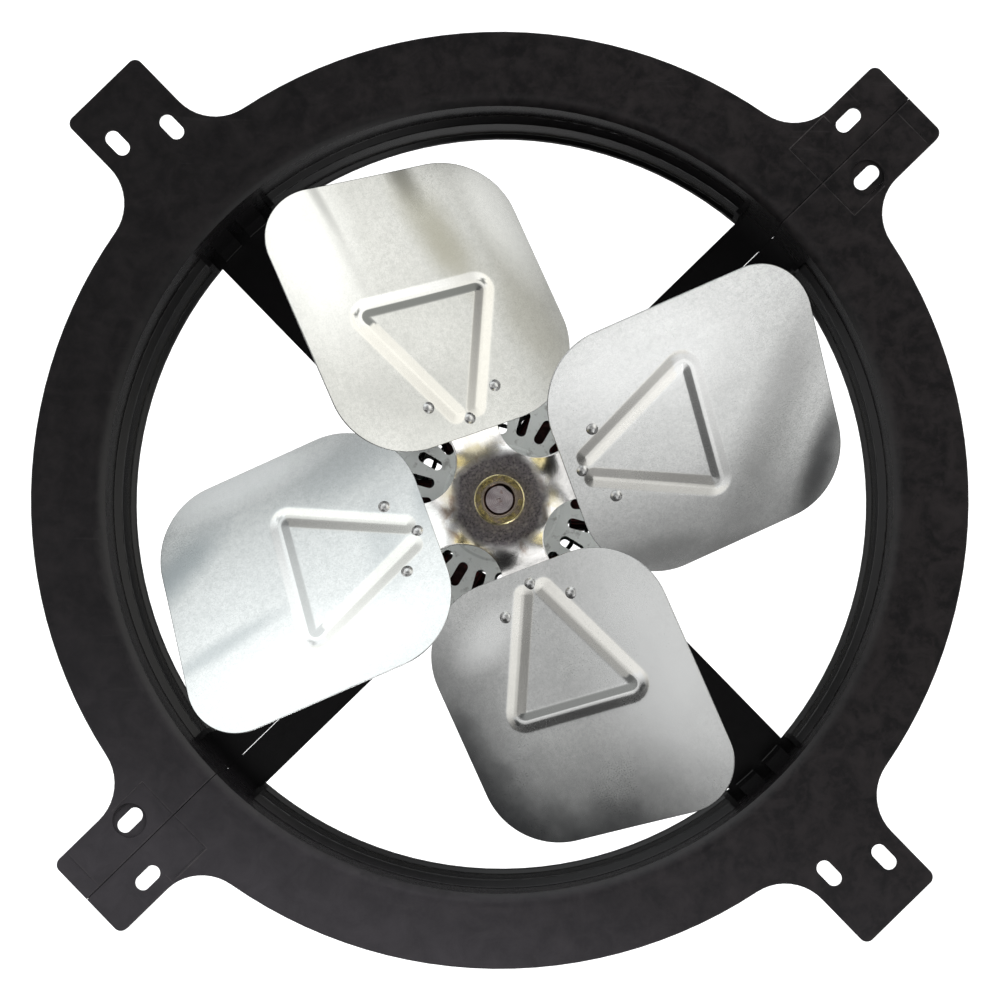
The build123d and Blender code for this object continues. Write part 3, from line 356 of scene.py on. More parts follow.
def spider_plate():
    """Zinc-plated plate: painted dark and speckled where it is flat, a painted reflection,
    bright where it is bent, with yellow and brown chromate between."""
    n = Nodes("zinc_chromate_steel")
    x, y, _ = n.parts()
    reach = n.length(x, y)
    cloud = n.noise(80, 4, 0.55, warp=0.3)
    patch = n.noise(62, 3, 0.5, source=n.mapping(move=(3.1, 0.4, 1.7)), warp=0.3)
    uneven = n.plus(reach, n.times(n.minus(cloud, 0.5), 0.008))
    flat = n.ramp(n.times(uneven, 20), (0.41, 1.0), (0.50, 0.0))
    ring = n.ramp(n.times(uneven, 20), (0.40, 0.0), (0.48, 1.0), (0.56, 1.0), (0.64, 0.0))
    specks = n.ramp(n.noise(900, 3, 0.7), (0.46, 0.0), (0.62, 1.0))
    base = n.ramp(cloud, (0.35, (0.60, 0.59, 0.57)), (0.7, (0.86, 0.85, 0.83)))
    base = n.mix(n.times(ring, n.ramp(patch, (0.46, 0.0), (0.60, 0.8))), base,
                 (0.50, 0.45, 0.30))
    base = n.mix(n.times(ring, n.ramp(cloud, (0.52, 0.0), (0.62, 0.85))), base,
                 (0.25, 0.18, 0.13))
    # the flat middle painted dark, with speckles: a painted reflection
    dark = n.mix(specks, (0.150, 0.132, 0.140), (0.04, 0.034, 0.038))
    dark = n.mix(n.ramp(n.noise(420, 3, 0.6), (0.52, 0.0), (0.66, 0.8)), dark,
                 (0.26, 0.235, 0.225))
    base = n.mix(n.times(flat, 0.92), base, dark)
    rough = n.plus(n.times(cloud, 0.16), 0.15)
    rough = n.plus(rough, n.times(flat, 0.16))
    bump = n.bump(n.noise(520, 4, 0.6), 0.20, 0.0003)
    n.shader(Base_Color=base, Metallic=1.0, Roughness=rough, Normal=bump)
    return n.mat


def gold_collar():
    """Yellow-chromate collar: mottled olive face, tan inner ring, painted shade at the bore's
    edge, and a painted highlight on the turned rim.
    """
    n = Nodes("gold_chromate_steel")
    r = n.times(n.radius(), 50)
    mottle = n.noise(330, 5, 0.65, warp=0.7)
    face = n.ramp(mottle, (0.38, (0.24, 0.20, 0.10)), (0.5, (0.46, 0.37, 0.14)),
                  (0.62, (0.60, 0.50, 0.20)))
    face = n.mix(n.ramp(n.noise(160, 3), (0.52, 0.0), (0.62, 0.7)), face, (0.38, 0.30, 0.27))
    face = n.mix(n.ramp(r, (0.43, 1.0), (0.46, 0.0)), face, (0.45, 0.38, 0.30))
    # painted shade at the bore's edge, in the gap round the shaft
    face = n.mix(n.ramp(r, (0.375, 1.0), (0.39, 0.0)), face, (0.035, 0.018, 0.012))
    # painted highlight on the turned rim
    face = n.mix(n.ramp(r, (0.570, 0.0), (0.582, 1.0)), face, (1.0, 0.88, 0.50))
    rings = n.math("SINE", n.times(n.radius(), 9000))
    bump = n.bump(rings, 0.08, 0.00015)
    bump = n.bump(mottle, 0.25, 0.0003, bump)
    n.shader(Base_Color=face, Metallic=1.0, Roughness=0.27, Normal=bump)
    return n.mat


def turned_shaft():
    """The shaft's end: turning rings about the centre mark, purple-grey with a little rust, and
    painted shade round its edge.
    """
    n = Nodes("shaft_steel")
    cloud = n.noise(240, 4, 0.6)
    rings = n.math("SINE", n.times(n.radius(), 7500))
    base = n.ramp(cloud, (0.35, (0.30, 0.25, 0.26)), (0.65, (0.52, 0.47, 0.47)))
    base = n.mix(n.ramp(rings, (0.2, 0.0), (0.9, 0.35)), base, (0.66, 0.60, 0.58))
    base = n.mix(n.ramp(n.noise(500, 3), (0.58, 0.0), (0.68, 0.6)), base, (0.20, 0.10, 0.06))
    # painted shade round the shaft's edge, at its chamfer
    base = n.mix(n.ramp(n.times(n.radius(), 50), (0.325, 0.0), (0.335, 1.0)), base,
                 (0.05, 0.026, 0.018))
    n.shader(Base_Color=base, Metallic=1.0, Roughness=0.30, Normal=n.bump(rings, 0.25, 0.0002))
    return n.mat


def metal(name, colour, dark, scale, rough_low):
    """Worn metal: cloudy tone and roughness with fine marks."""
    n = Nodes(name)
    cloud = n.noise(scale, 5, 0.6)
    fine = n.noise(scale * 9, 3, 0.6)
    base = n.ramp(cloud, (0.3, dark), (0.7, colour))
    base = n.mix(n.ramp(fine, (0.55, 0.0), (0.75, 0.5)), base, dark)
    rough = n.plus(n.times(cloud, 0.25), rough_low)
    n.shader(Base_Color=base, Metallic=1.0, Roughness=rough, Normal=n.bump(fine, 0.15, 0.0002))
    return n.mat


def dull(name, colour, dark, scale, rough_low, depth=0.0003):
    """Matt stuff: fibre, rubber, nylon, ferrite or felt."""
    n = Nodes(name)
    cloud = n.noise(scale, 5, 0.6)
    fine = n.noise(scale * 8, 4, 0.6)
    base = n.ramp(cloud, (0.3, dark), (0.7, colour))
    rough = n.plus(n.times(fine, 0.2), rough_low)
    n.shader(Base_Color=base, Roughness=rough, Normal=n.bump(fine, 0.3, depth))
    return n.mat


def copper_windings():
    """Enamelled wire: turns as fine ridges, dark red to brown, painted darker still as painted
    shade inside the motor.
    """
    n = Nodes("enamelled_copper")
    turns = n.bands(330, 2.0)
    # dark red enamel, kept very dark as painted shade inside the motor
    base = n.ramp(turns, (0.0, (0.012, 0.002, 0.002)), (0.8, (0.10, 0.010, 0.009)))
    base = n.mix(n.ramp(n.noise(90), (0.40, 0.0), (0.6, 0.85)), base, (0.012, 0.005, 0.005))
    n.shader(Base_Color=base, Metallic=0.7, Roughness=0.34, Normal=n.bump(turns, 0.6, 0.0004))
    return n.mat


def laminations():
    """Stacked sheets with a dark varnish: fine lines across the axis."""
    n = Nodes("lamination_steel")
    lines = n.bands(500)
    base = n.ramp(n.noise(120), (0.3, (0.05, 0.048, 0.046)), (0.7, (0.13, 0.125, 0.12)))
    n.shader(Base_Color=base, Metallic=0.8, Roughness=0.45, Normal=n.bump(lines, 0.5, 0.0003))
    return n.mat


MATERIALS = {
    "shroud_plastic": shroud_plastic(),
    "motor_paint": motor_paint(),
    "zinc_hardware": metal("zinc_hardware", (0.70, 0.70, 0.68), (0.45, 0.45, 0.43), 120, 0.20),
    "lamination_steel": laminations(),
    "bobbin_nylon": dull("bobbin_nylon", (0.03, 0.03, 0.033), (0.014, 0.014, 0.016), 90, 0.42),
    "enamelled_copper": copper_windings(),
    "bearing_bronze": metal("bearing_bronze", (0.50, 0.32, 0.14), (0.26, 0.15, 0.06), 260, 0.35),
    "oil_felt": dull("oil_felt", (0.42, 0.38, 0.30), (0.25, 0.22, 0.17), 300, 0.8, 0.0006),
    "circuit_board": dull("circuit_board", (0.02, 0.17, 0.07), (0.01, 0.10, 0.04), 150, 0.25),
    "standoff_brass": metal("standoff_brass", (0.62, 0.46, 0.19), (0.36, 0.25, 0.09), 150, 0.28),
    "component_black": dull("component_black", (0.03, 0.03, 0.03), (0.012, 0.012, 0.012), 200,
                            0.4),
    "rivet_steel": metal("rivet_steel", (0.66, 0.66, 0.65), (0.42, 0.42, 0.41), 300, 0.22),
    "black_oxide_steel": metal("black_oxide_steel", (0.07, 0.07, 0.07), (0.03, 0.03, 0.03), 200,
                               0.35),
    "shaft_steel": turned_shaft(),
    "ferrite": dull("ferrite", (0.06, 0.06, 0.065), (0.03, 0.03, 0.032), 220, 0.5),
    "washer_fibre": dull("washer_fibre", (0.30, 0.23, 0.15), (0.18, 0.13, 0.08), 240, 0.6),
    "grommet_rubber": dull("grommet_rubber", (0.022, 0.022, 0.022), (0.012, 0.012, 0.012), 120,
                           0.55),
    "zinc_chromate_steel": spider_plate(),
    "gold_chromate_steel": gold_collar(),
}
# one entry a blade: where its grain comes from, its painted reflections, its bead's painted
# shade
SHIFTS = [(0.0, 0.0, 0.0), (0.73, 0.1, 0.31), (0.19, 0.2, 0.87), (1.37, 0.3, 0.55)]
# tones of the painted reflections on the blades
GREY, SLATE, OLIVE = (0.13, 0.13, 0.125), (0.22, 0.25, 0.26), (0.22, 0.21, 0.15)
DARK_REFLECTION, LIGHT_REFLECTION = (0.018, 0.019, 0.021), (0.88, 0.89, 0.88)
PAINTED_REFLECTIONS = [
    [((139, -8), 50, 78, 16, 0.62, GREY), ((155, -34), 52, 46, 10, 1.0, DARK_REFLECTION),
     ((64, -50), -8, 38, 10, 0.55, GREY), ((100, -60), 0, 40, 7, 0.40, GREY),
     ((85, 40), 5, 80, 34, 0.55, LIGHT_REFLECTION), ((95, 5), 10, 70, 40, 0.25, LIGHT_REFLECTION)],
    [((170, 32), 10, 30, 3.3, 1.0, DARK_REFLECTION), ((146, 29), 8, 44, 4.5, 0.35, GREY),
     ((166, -10), 10, 25, 8, 1.0, DARK_REFLECTION), ((133, -17), 15, 46, 14, 0.85, OLIVE),
     ((80, -46), 8, 60, 17, 0.55, OLIVE), ((150, 46), 0, 70, 30, 0.60, LIGHT_REFLECTION),
     ((136, -48), 8, 52, 14, 0.55, LIGHT_REFLECTION), ((62, 20), 80, 48, 22, 0.22, GREY)],
    [((162, -22), 25, 44, 13, 0.95, SLATE), ((68, -42), 10, 44, 15, 0.42, SLATE),
     ((155, 21), 12, 50, 6, 0.60, SLATE), ((32, -14), 70, 22, 10, 0.6, SLATE),
     ((118, -56), 4, 62, 16, 0.80, LIGHT_REFLECTION), ((110, 42), 4, 90, 28, 0.55, LIGHT_REFLECTION),
     ((60, 0), 80, 30, 14, 0.30, SLATE)],
    [((100, 46), 2, 84, 44, 0.95, LIGHT_REFLECTION), ((184, -25), 77, 112, 68, 0.99, DARK_REFLECTION),
     ((140, -74), 0, 116, 58, 0.98, DARK_REFLECTION), ((60, -28), -65, 26, 14, 0.70, LIGHT_REFLECTION),
     ((186, -30), 77, 72, 42, 0.92, DARK_REFLECTION), ((150, -80), 0, 92, 44, 0.90, DARK_REFLECTION)],
]
# how dark the painted shade on each blade's bead is
BEAD_SHADE = [0.06, 0.90, 0.42, 0.85]
BLADE_MATERIALS = [galvanised(f"galvanised_steel_{k + 1}", SHIFTS[k], PAINTED_REFLECTIONS[k], BEAD_SHADE[k])
                   for k in range(4)]


# ------------------------------------------------------------------ mesh helpers
def make_object(name, verts, faces, material, normals=None):
    """A mesh object from metre vertices; smooth, with its own normals where they are given."""
    mesh = bpy.data.meshes.new(name)
    mesh.from_pydata([tuple(v) for v in verts], [], faces)
    mesh.validate()
    mesh.polygons.foreach_set("use_smooth", [True] * len(mesh.polygons))
    mesh.materials.append(material)
    if normals is not None:
        mesh.normals_split_custom_set_from_vertices([tuple(v) for v in normals])
    mesh.update()
    obj = bpy.data.objects.new(name, mesh)
    scene.collection.objects.link(obj)
    return obj


# ------------------------------------------------------------------ outlines and sheets
def corner_arc(p, before, after, radius, step):
    """The points of a rounded corner at p, from the side of before to the side of after."""
    a, b = (before - p).normalized(), (after - p).normalized()
    half = a.angle(b) / 2
    start = p + a * (radius / tan(half))
    end = p + b * (radius / tan(half))
    centre = p + (a + b).normalized() * (radius / sin(half))
    s0 = atan2(start.y - centre.y, start.x - centre.x)
    s1 = atan2(end.y - centre.y, end.x - centre.x)
    turn = (s1 - s0 + pi) % (2 * pi) - pi
    count = max(4, int(abs(turn) * radius / step))
    return [centre + Vector((cos(s0 + turn * k / count), sin(s0 + turn * k / count))) * radius
            for k in range(count + 1)]


def run(a, b, step):
    """Points strictly between a and b, about a step apart."""
    count = max(1, int((b - a).length / step))
    return [a.lerp(b, k / count) for k in range(1, count)]


def rounded(points, radii, step):
    """A closed counter-clockwise outline with rounded corners."""
    points = [Vector(p) for p in points]
    count = len(points)
    arcs = [corner_arc(points[i], points[i - 1], points[(i + 1) % count], radii[i], step)
            for i in range(count)]
    out = []
    for i in range(count):
        out += arcs[i] + run(arcs[i][-1], arcs[(i + 1) % count][0], step)
    return out


def open_path(points, radius, step):
    """An open run through points, its inner corners rounded."""
    points = [Vector(p) for p in points]
    out = [points[0]]
    for i in range(1, len(points) - 1):
        arc = corner_arc(points[i], points[i - 1], points[i + 1], radius, step)
        out += run(out[-1], arc[0], step) + arc
    return out + run(out[-1], points[-1], step) + [points[-1]]


def inset(loop, amount):
    """A counter-clockwise loop moved inwards."""
    out = []
    for i, p in enumerate(loop):
        t = (loop[(i + 1) % len(loop)] - loop[i - 1]).normalized()
        out.append(p + Vector((-t.y, t.x)) * amount)
    return out


def path_distance(p, path):
    """Shortest distance from a point to an open path."""
    best = 1e9
    for a, b in zip(path, path[1:]):
        d = b - a
        t = max(0.0, min(1.0, (p - a).dot(d) / d.length_squared))
        best = min(best, (p - a - d * t).length)
    return best


def inside(p, loop):
    """Whether a point lies within a closed loop."""
    hit = False
    for a, b in zip(loop, loop[1:] + loop[:1]):
        if (a.y > p.y) != (b.y > p.y):
            if p.x < (b.x - a.x) * (p.y - a.y) / (b.y - a.y) + a.x:
                hit = not hit
    return hit


def smooth(x):
    """0 below 0, 1 above 1, and a soft rise between."""
    x = max(0.0, min(1.0, x))
    return x * x * (3 - 2 * x)


EDGE_ROUND = 0.28                  # rounding of a sheared edge
RIM_ROW, RIM_CLEAR = 1.0, 2.0      # a row of points near each edge, and none of the grid's
SLOPE_STEP = 0.02                  # half the step over which a surface's slope is taken


def sheet(outer, holes, extra, grid, surface, thickness, clear=None):
    """A sheet-metal piece: its front face is surface(u, v), its back a thickness behind along
    the normal, and its sheared edge is slightly rounded. Loops run counter-clockwise; holes
    run clockwise. extra are points to mesh through besides a square grid, which keeps off
    where clear(p) is false. Returns vertices, faces and normals in mm."""
    loops = [inset(loop, EDGE_ROUND) for loop in [outer] + holes]
    fixed = [p for loop in loops for p in loop]
    ties, start = [], 0
    for loop in loops:
        count = len(loop)
        ties += [(start + i, start + (i + 1) % count) for i in range(count)]
        start += count
    for loop in [outer] + holes:
        fixed += inset(loop, RIM_ROW)
    fixed += extra
    rim = inset(outer, RIM_CLEAR)
    hole_rims = [inset(loop, RIM_CLEAR) for loop in holes]
    u = min(p.x for p in outer)
    while u < max(p.x for p in outer):
        v = min(p.y for p in outer)
        while v < max(p.y for p in outer):
            p = Vector((u, v))
            free = inside(p, rim) and not any(inside(p, h) for h in hole_rims)
            if free and (clear is None or clear(p)):
                fixed.append(p)
            v += grid
        u += grid
    flat, _, tris, *_ = delaunay_2d_cdt(fixed, ties, [], 0, 1e-4)
    tris = [t for t in tris if keep_face(t, flat, loops)]
    used = sorted({i for t in tris for i in t})
    index = {old: new for new, old in enumerate(used)}
    flat = [flat[i] for i in used]
    tris = [tuple(index[i] for i in t) for t in tris]
    e = SLOPE_STEP
    front, normals = [], []
    for p in flat:
        du = surface(p.x + e, p.y) - surface(p.x - e, p.y)
        dv = surface(p.x, p.y + e) - surface(p.x, p.y - e)
        front.append(surface(p.x, p.y))
        normals.append(du.cross(dv).normalized())
    count = len(flat)
    verts = front + [f - n * thickness for f, n in zip(front, normals)]
    norms = normals + [-n for n in normals]
    faces = tris + [tuple(count + i for i in reversed(t)) for t in tris]
    place_of = {(round(p.x, 3), round(p.y, 3)): i for i, p in enumerate(flat)}
    for full, loop in zip([outer] + holes, loops):
        ring = [place_of[(round(p.x, 3), round(p.y, 3))] for p in loop]
        rows = [ring]
        for share in (0.22, 0.78):
            row = []
            for p, q, i in zip(full, loop, ring):
                out = Vector((p.x - q.x, p.y - q.y, 0))
                out = (out - normals[i] * out.dot(normals[i])).normalized()
                row.append(len(verts))
                verts.append(front[i] - normals[i] * (thickness * share) + out * EDGE_ROUND)
                norms.append((out + normals[i] * (0.5 - share)).normalized())
            rows.append(row)
        rows.append([count + i for i in ring])
        for a, b in zip(rows, rows[1:]):
            for k in range(len(a)):
                k1 = (k + 1) % len(a)
                faces.append((a[k], b[k], b[k1], a[k1]))
    return verts, faces, norms


def keep_face(tri, flat, loops):
    """Whether a triangle lies in the sheet and not in a hole."""
    middle = sum((flat[i] for i in tri), Vector((0, 0))) / len(tri)
    return inside(middle, loops[0]) and not any(inside(middle, h) for h in loops[1:])


# ------------------------------------------------------------------ fan blades
# in a blade's own axes: u outward, v to its left, and the height in front of its plane
FIRST_BLADE_ANGLE = 21.2           # degrees above the right-hand side
BLADE_ANGLES = [FIRST_BLADE_ANGLE + 90 * k for k in range(4)]
BLADE_PLANE = 36.0                 # depth of the blades' plane behind the flange's front
BLADE_T = 1.0
CAMBER_R = 372.0                   # radius of the curve across the blade
PITCH = 23.0                       # slope of that curve at v = 0, in degrees
# the outline's straight edges: u = a + b v at the root and tip, v = a + b u at the sides
EDGES = {"root": (35.1, 0.0), "tip": (170.0, 0.092), "left": (54.9, 0.055),
         "right": (-65.7, 0.0698)}
BLADE_ROUNDS = [37.0, 38.0, 25.0, 37.0]
BEAD_PATH = [(46.9, -5.1), (105.3, -31.4), (109.9, 35.3), (46.8, 5.3)]
BEAD_CORNER = 4.5
BEAD_RISE = 0.62
BEAD_CREST = 0.8                   # half width of the bead's crest
BEAD_HALF = 4.9                    # half width of the bead at its foot
BEAD_U, BEAD_V = (36, 118), (-42, 46)       # the bead lies within these
RIVET_SPOTS = [(42.8, 0.0), (54.0, 17.0), (54.0, -17.0)]


def camber(v):
    """Height of the blade's back face in front of its own plane at v."""
    x = sin(radians(PITCH)) + v / CAMBER_R
    return CAMBER_R * (cos(radians(PITCH)) - sqrt(1 - x * x))


def camber_normal(v):
    """The blade's normal at v, towards the viewer."""
    x = sin(radians(PITCH)) + v / CAMBER_R
    return Vector((0, -x, sqrt(1 - x * x)))


def blade_corner(end, side):
    """Where an end edge, u = a + b v, meets a side edge, v = c + d u."""
    (a, b), (c, d) = end, side
    u = (a + b * c) / (1 - b * d)
    return (u, c + d * u)


BLADE_CORNERS = [blade_corner(EDGES[a], EDGES[b]) for a, b in
                 (("root", "right"), ("tip", "right"), ("tip", "left"), ("root", "left"))]
BEAD_LINE = open_path(BEAD_PATH, BEAD_CORNER, 1.2)


def soft_floor(x):
    """x where it is above zero, and nearly zero below, with a small blend between."""
    return 0.5 * (x + sqrt(x * x + 0.006))


def flank(d):
    """The bead's section, 0 to 1: a flat crest, straight flanks and small blends."""
    return 1 - soft_floor(1 - soft_floor((BEAD_HALF - d) / (BEAD_HALF - BEAD_CREST)))


FLANK_REST = flank(BEAD_HALF + 3)  # what the blend leaves well outside the bead
BEAD_INSIDE = [Vector(p) for p in BEAD_PATH]
TIP_SIDE_FROM, TIP_SIDE_MIDDLE, TIP_SIDE_HALF = 101, 2, 33


def bead_painted_light_shares(p):
    """Painted light and shade on the bead, as three shares: painted shade on its inner flank,
    most of all at the tip side; a warm painted sheen along its two legs; and the whole bead,
    painted lighter as a painted highlight."""
    d = path_distance(p, BEAD_LINE)
    on = smooth((BEAD_HALF + 0.5 - d) / 1.2)
    tip_side = p.x > TIP_SIDE_FROM and abs(p.y - TIP_SIDE_MIDDLE) < TIP_SIDE_HALF
    inner = smooth((d - BEAD_CREST + 0.2) / 0.5) if inside(p, BEAD_INSIDE) else 0.0
    # dull is painted shade on the inner flank, and warm a painted sheen on the legs
    dull = on * inner * (1.0 if tip_side else 0.12)
    warm = on * (0.0 if tip_side else 0.8)
    return (dull, warm, on)


def blade_surface(u, v):
    """The blade's front face: u outward, v to the left, and the height in front."""
    rise = BLADE_T
    if BEAD_U[0] < u < BEAD_U[1] and BEAD_V[0] < v < BEAD_V[1]:
        d = path_distance(Vector((u, v)), BEAD_LINE)
        if d < BEAD_HALF + 2.5:
            rise += BEAD_RISE * max(0.0, flank(d) - FLANK_REST)
    return Vector((u, v, camber(v))) + camber_normal(v) * rise


def bead_points():
    """Rows of points along the bead, so that its edges come out crisp."""
    out = []
    rows = (0.0, 0.4, 0.6, BEAD_CREST, 1.0, 1.3, 2.0, 3.0, 4.0, 4.5, 4.7, BEAD_HALF,
            5.1, 5.5, 6.2)
    for side in sorted({-r for r in rows} | set(rows)):
        for i, p in enumerate(BEAD_LINE):
            q = BEAD_LINE[min(i + 1, len(BEAD_LINE) - 1)] - BEAD_LINE[max(i - 1, 0)]
            q = p + Vector((-q.y, q.x)).normalized() * side
            if path_distance(q, BEAD_LINE) > abs(side) - 0.1:
                out.append(q)
    for end, back in ((BEAD_LINE[0], BEAD_LINE[1]), (BEAD_LINE[-1], BEAD_LINE[-2])):
        ahead = (end - back).normalized()
        for r in rows[1:]:
            for k in range(-5, 6):
                q = end + Matrix.Rotation(k * pi / 11, 2) @ ahead * r
                if path_distance(q, BEAD_LINE) > r - 0.1:
                    out.append(q)
    return out


def blade_matrix(angle):
    """Turns out, left, front into the frame, at the blade's plane."""
    a = radians(angle)
    turn = Matrix(((cos(a), -sin(a), 0), (0, 0, -1), (sin(a), cos(a), 0)))
    return Matrix.Translation((0, BLADE_PLANE * MM, 0)) @ turn.to_4x4()


def place(name, data, matrix, material, body, *nodes, slot, marks=None):
    """An object from mm data in its own axes, turned into place by its matrix. marks holds
    three shares of painted light and shade for each vertex, which the blades' material reads."""
    verts, faces, norms = data
    obj = make_object(name, [v * MM for v in verts], faces, material, norms)
    if marks:
        layer = obj.data.color_attributes.new("bead_painted_light", "FLOAT_COLOR", "POINT")
        layer.data.foreach_set("color", [c for mark in marks for c in (*mark, 1.0)])
        # a blade casts no shade on the throat behind it, and none mirrors its neighbour
        obj.visible_glossy = obj.visible_diffuse = obj.visible_shadow = False
    obj.matrix_world = matrix
    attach(obj, body)
    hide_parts(*nodes)
    return obj


blade_data = sheet(rounded(BLADE_CORNERS, BLADE_ROUNDS, 1.8), [], bead_points(), 2.6,
                   blade_surface, BLADE_T,
                   clear=lambda p: path_distance(p, BEAD_LINE) > BEAD_HALF + 2.4)
blade_painted_light = [bead_painted_light_shares(Vector((v.x, v.y))) for v in blade_data[0]]
for k, angle in enumerate(BLADE_ANGLES):
    place(f"blade_sheet_{k + 1}", blade_data, blade_matrix(angle), BLADE_MATERIALS[k],
          "fan_rotor", f"blade_{k + 1}", slot="galvanised_steel", marks=blade_painted_light)


# ------------------------------------------------------------------ rivets
def turned(profile, steps):
    """A solid of revolution about local z from an open profile of (radius, height), both
    ends on the axis. Returns vertices and faces."""
    verts, faces, rows = [], [], []
    for r, h in profile:
        if r == 0:
            rows.append([len(verts)])
            verts.append(Vector((0, 0, h)))
            continue
        rows.append([len(verts) + k for k in range(steps)])
        verts += [Vector((r * cos(2 * pi * k / steps), r * sin(2 * pi * k / steps), h))
                  for k in range(steps)]
    for a, b in zip(rows, rows[1:]):
        for k in range(steps):
            k1 = (k + 1) % steps
            if len(a) == 1:
                faces.append((a[0], b[k], b[k1]))
            elif len(b) == 1:
                faces.append((a[k], b[0], a[k1]))
            else:
                faces.append((a[k], b[k], b[k1], a[k1]))
    return verts, faces


# a low dome with a narrow foot ring, a shank, and a flat set head behind the spider
RIVET_PROFILE = [(0, 2.35), (0.5, 2.33), (1.1, 2.2), (1.7, 1.95), (2.2, 1.6), (2.55, 1.25),
                 (2.7, 1.12), (2.95, 1.08), (3.0, 1.0), (1.55, 0.95), (1.55, -2.0),
                 (2.6, -2.06), (2.6, -2.7), (2.3, -3.1), (1.2, -3.2), (0, -3.2)]


def rivet_set(name, angle, number):
    verts, faces = [], []
    part_verts, part_faces = turned(RIVET_PROFILE, 28)
    for u, v in RIVET_SPOTS:
        n = camber_normal(v)
        side = Vector((1, 0, 0))
        turn = Matrix((side, n.cross(side), n)).transposed()
        base = Vector((u, v, camber(v)))
        start = len(verts)
        verts += [base + turn @ p for p in part_verts]
        faces += [tuple(start + i for i in f) for f in part_faces]
    place(name, (verts, faces, None), blade_matrix(angle), MATERIALS["rivet_steel"],
          "fan_rotor", f"rivets_{number}", slot="rivet_steel")


for k, angle in enumerate(BLADE_ANGLES):
    rivet_set(f"rivet_heads_{k + 1}", angle, k + 1)


# ------------------------------------------------------------------ spider
SPIDER_T = 2.0
NECK_R, NECK_STEPS = 9.6, 60       # the hole for the hub's neck
SCALLOP_R, SCALLOP_AT = 20.0, 45.0          # scallops between the pads, and how far out
SCALLOP_STEPS = 60
PAD_END, PAD_HALF, PAD_ROUND = 64.0, 25.0, 6.0
BEND_FROM, BEND_TO = 17.5, 33.5    # where an arm leaves the plane, and where it meets the blade
ARM_FROM, ARM_HALF, ARM_SPREAD = 17, 30, 0.98       # where a point belongs to an arm


def spider_outline():
    """Four pads joined by scallops, in the plane of the first arm (out, left)."""
    out = []
    c = SCALLOP_AT * sqrt(0.5)
    dip = sqrt(SCALLOP_R ** 2 - (c - PAD_HALF) ** 2)
    for arm in range(4):
        turn = Matrix.Rotation(arm * pi / 2, 2)
        low = Vector((c + dip, -PAD_HALF))
        high = Vector((c + dip, PAD_HALF))
        ends = [Vector((PAD_END, -PAD_HALF)), Vector((PAD_END, PAD_HALF))]
        arcs = [corner_arc(ends[0], low, ends[1], PAD_ROUND, 1.2),
                corner_arc(ends[1], ends[0], high, PAD_ROUND, 1.2)]
        piece = [low] + run(low, arcs[0][0], 1.5) + arcs[0] + run(arcs[0][-1], arcs[1][0], 1.5)
        piece += arcs[1] + run(arcs[1][-1], high, 1.5)
        s0 = atan2(high.y - c, high.x - c)
        s1 = pi / 2 - s0 - 2 * pi
        sweep = [s0 + (s1 - s0) * k / SCALLOP_STEPS for k in range(SCALLOP_STEPS)]
        piece += [Vector((c + SCALLOP_R * cos(s), c + SCALLOP_R * sin(s))) for s in sweep]
        out += [turn @ p for p in piece]
    return out


def spider_surface(x, y):
    """Flat in the middle; each arm bends and twists to lie against its blade's back."""
    for arm in range(4):
        a = arm * pi / 2
        u, v = x * cos(a) + y * sin(a), y * cos(a) - x * sin(a)
        if u > ARM_FROM and abs(v) < ARM_HALF and u > abs(v) * ARM_SPREAD:
            share = smooth((u - BEND_FROM) / (BEND_TO - BEND_FROM))
            return Vector((x, y, share * camber(v)))
    return Vector((x, y, 0.0))


neck = [-2 * pi * k / NECK_STEPS for k in range(NECK_STEPS)]
neck = [Vector((NECK_R * cos(a), NECK_R * sin(a))) for a in neck]
place("spider_sheet", sheet(spider_outline(), [neck], [], 1.6, spider_surface, SPIDER_T),
      blade_matrix(FIRST_BLADE_ANGLE), MATERIALS["zinc_chromate_steel"], "fan_rotor",
      "fan_spider", slot="zinc_chromate_steel")


# ------------------------------------------------------------------ winding leads
def tube(points, radius, steps=10):
    """A wire through smooth points, its ends closed. Returns vertices and faces."""
    verts, faces = [], []
    side = Vector((0, 1, 0))
    for i, p in enumerate(points):
        ahead = (points[min(i + 1, len(points) - 1)] - points[max(i - 1, 0)]).normalized()
        side = (side - ahead * side.dot(ahead)).normalized()
        over = ahead.cross(side)
        for k in range(steps):
            a = 2 * pi * k / steps
            verts.append(p + (side * cos(a) + over * sin(a)) * radius)
    for i in range(len(points) - 1):
        for k in range(steps):
            a, b = i * steps + k, i * steps + (k + 1) % steps
            faces.append((a, b, b + steps, a + steps))
    faces.append(tuple(reversed(range(steps))))
    faces.append(tuple(range(len(verts) - steps, len(verts))))
    return verts, faces


LEAD_STEPS = 40
LEAD_SPREAD = 17                   # degrees to either side of the gap's middle


def lead_path(angle, radius, depth, swing):
    """A lead from one coil to the next across the gap at an angle, bowed and a little wavy."""
    out = []
    for k in range(LEAD_STEPS + 1):
        t = k / LEAD_STEPS
        a = radians(angle - LEAD_SPREAD + 2 * LEAD_SPREAD * t)
        r = radius + swing * sin(pi * t) + 0.7 * sin(9 * t + angle)
        out.append(Vector((r * cos(a), depth + 1.2 * sin(7 * t + radius), r * sin(a))))
    return out


# each lead's radius, its depth behind the coils' front, its bow and the wire's radius
LEADS = [(44.5, 3.5, 2.0, 0.9), (47.6, 5.5, 1.0, 0.7), (41.0, 4.5, -2.0, 0.8),
         (38.4, 7.0, 1.5, 0.6)]
COILS = 6


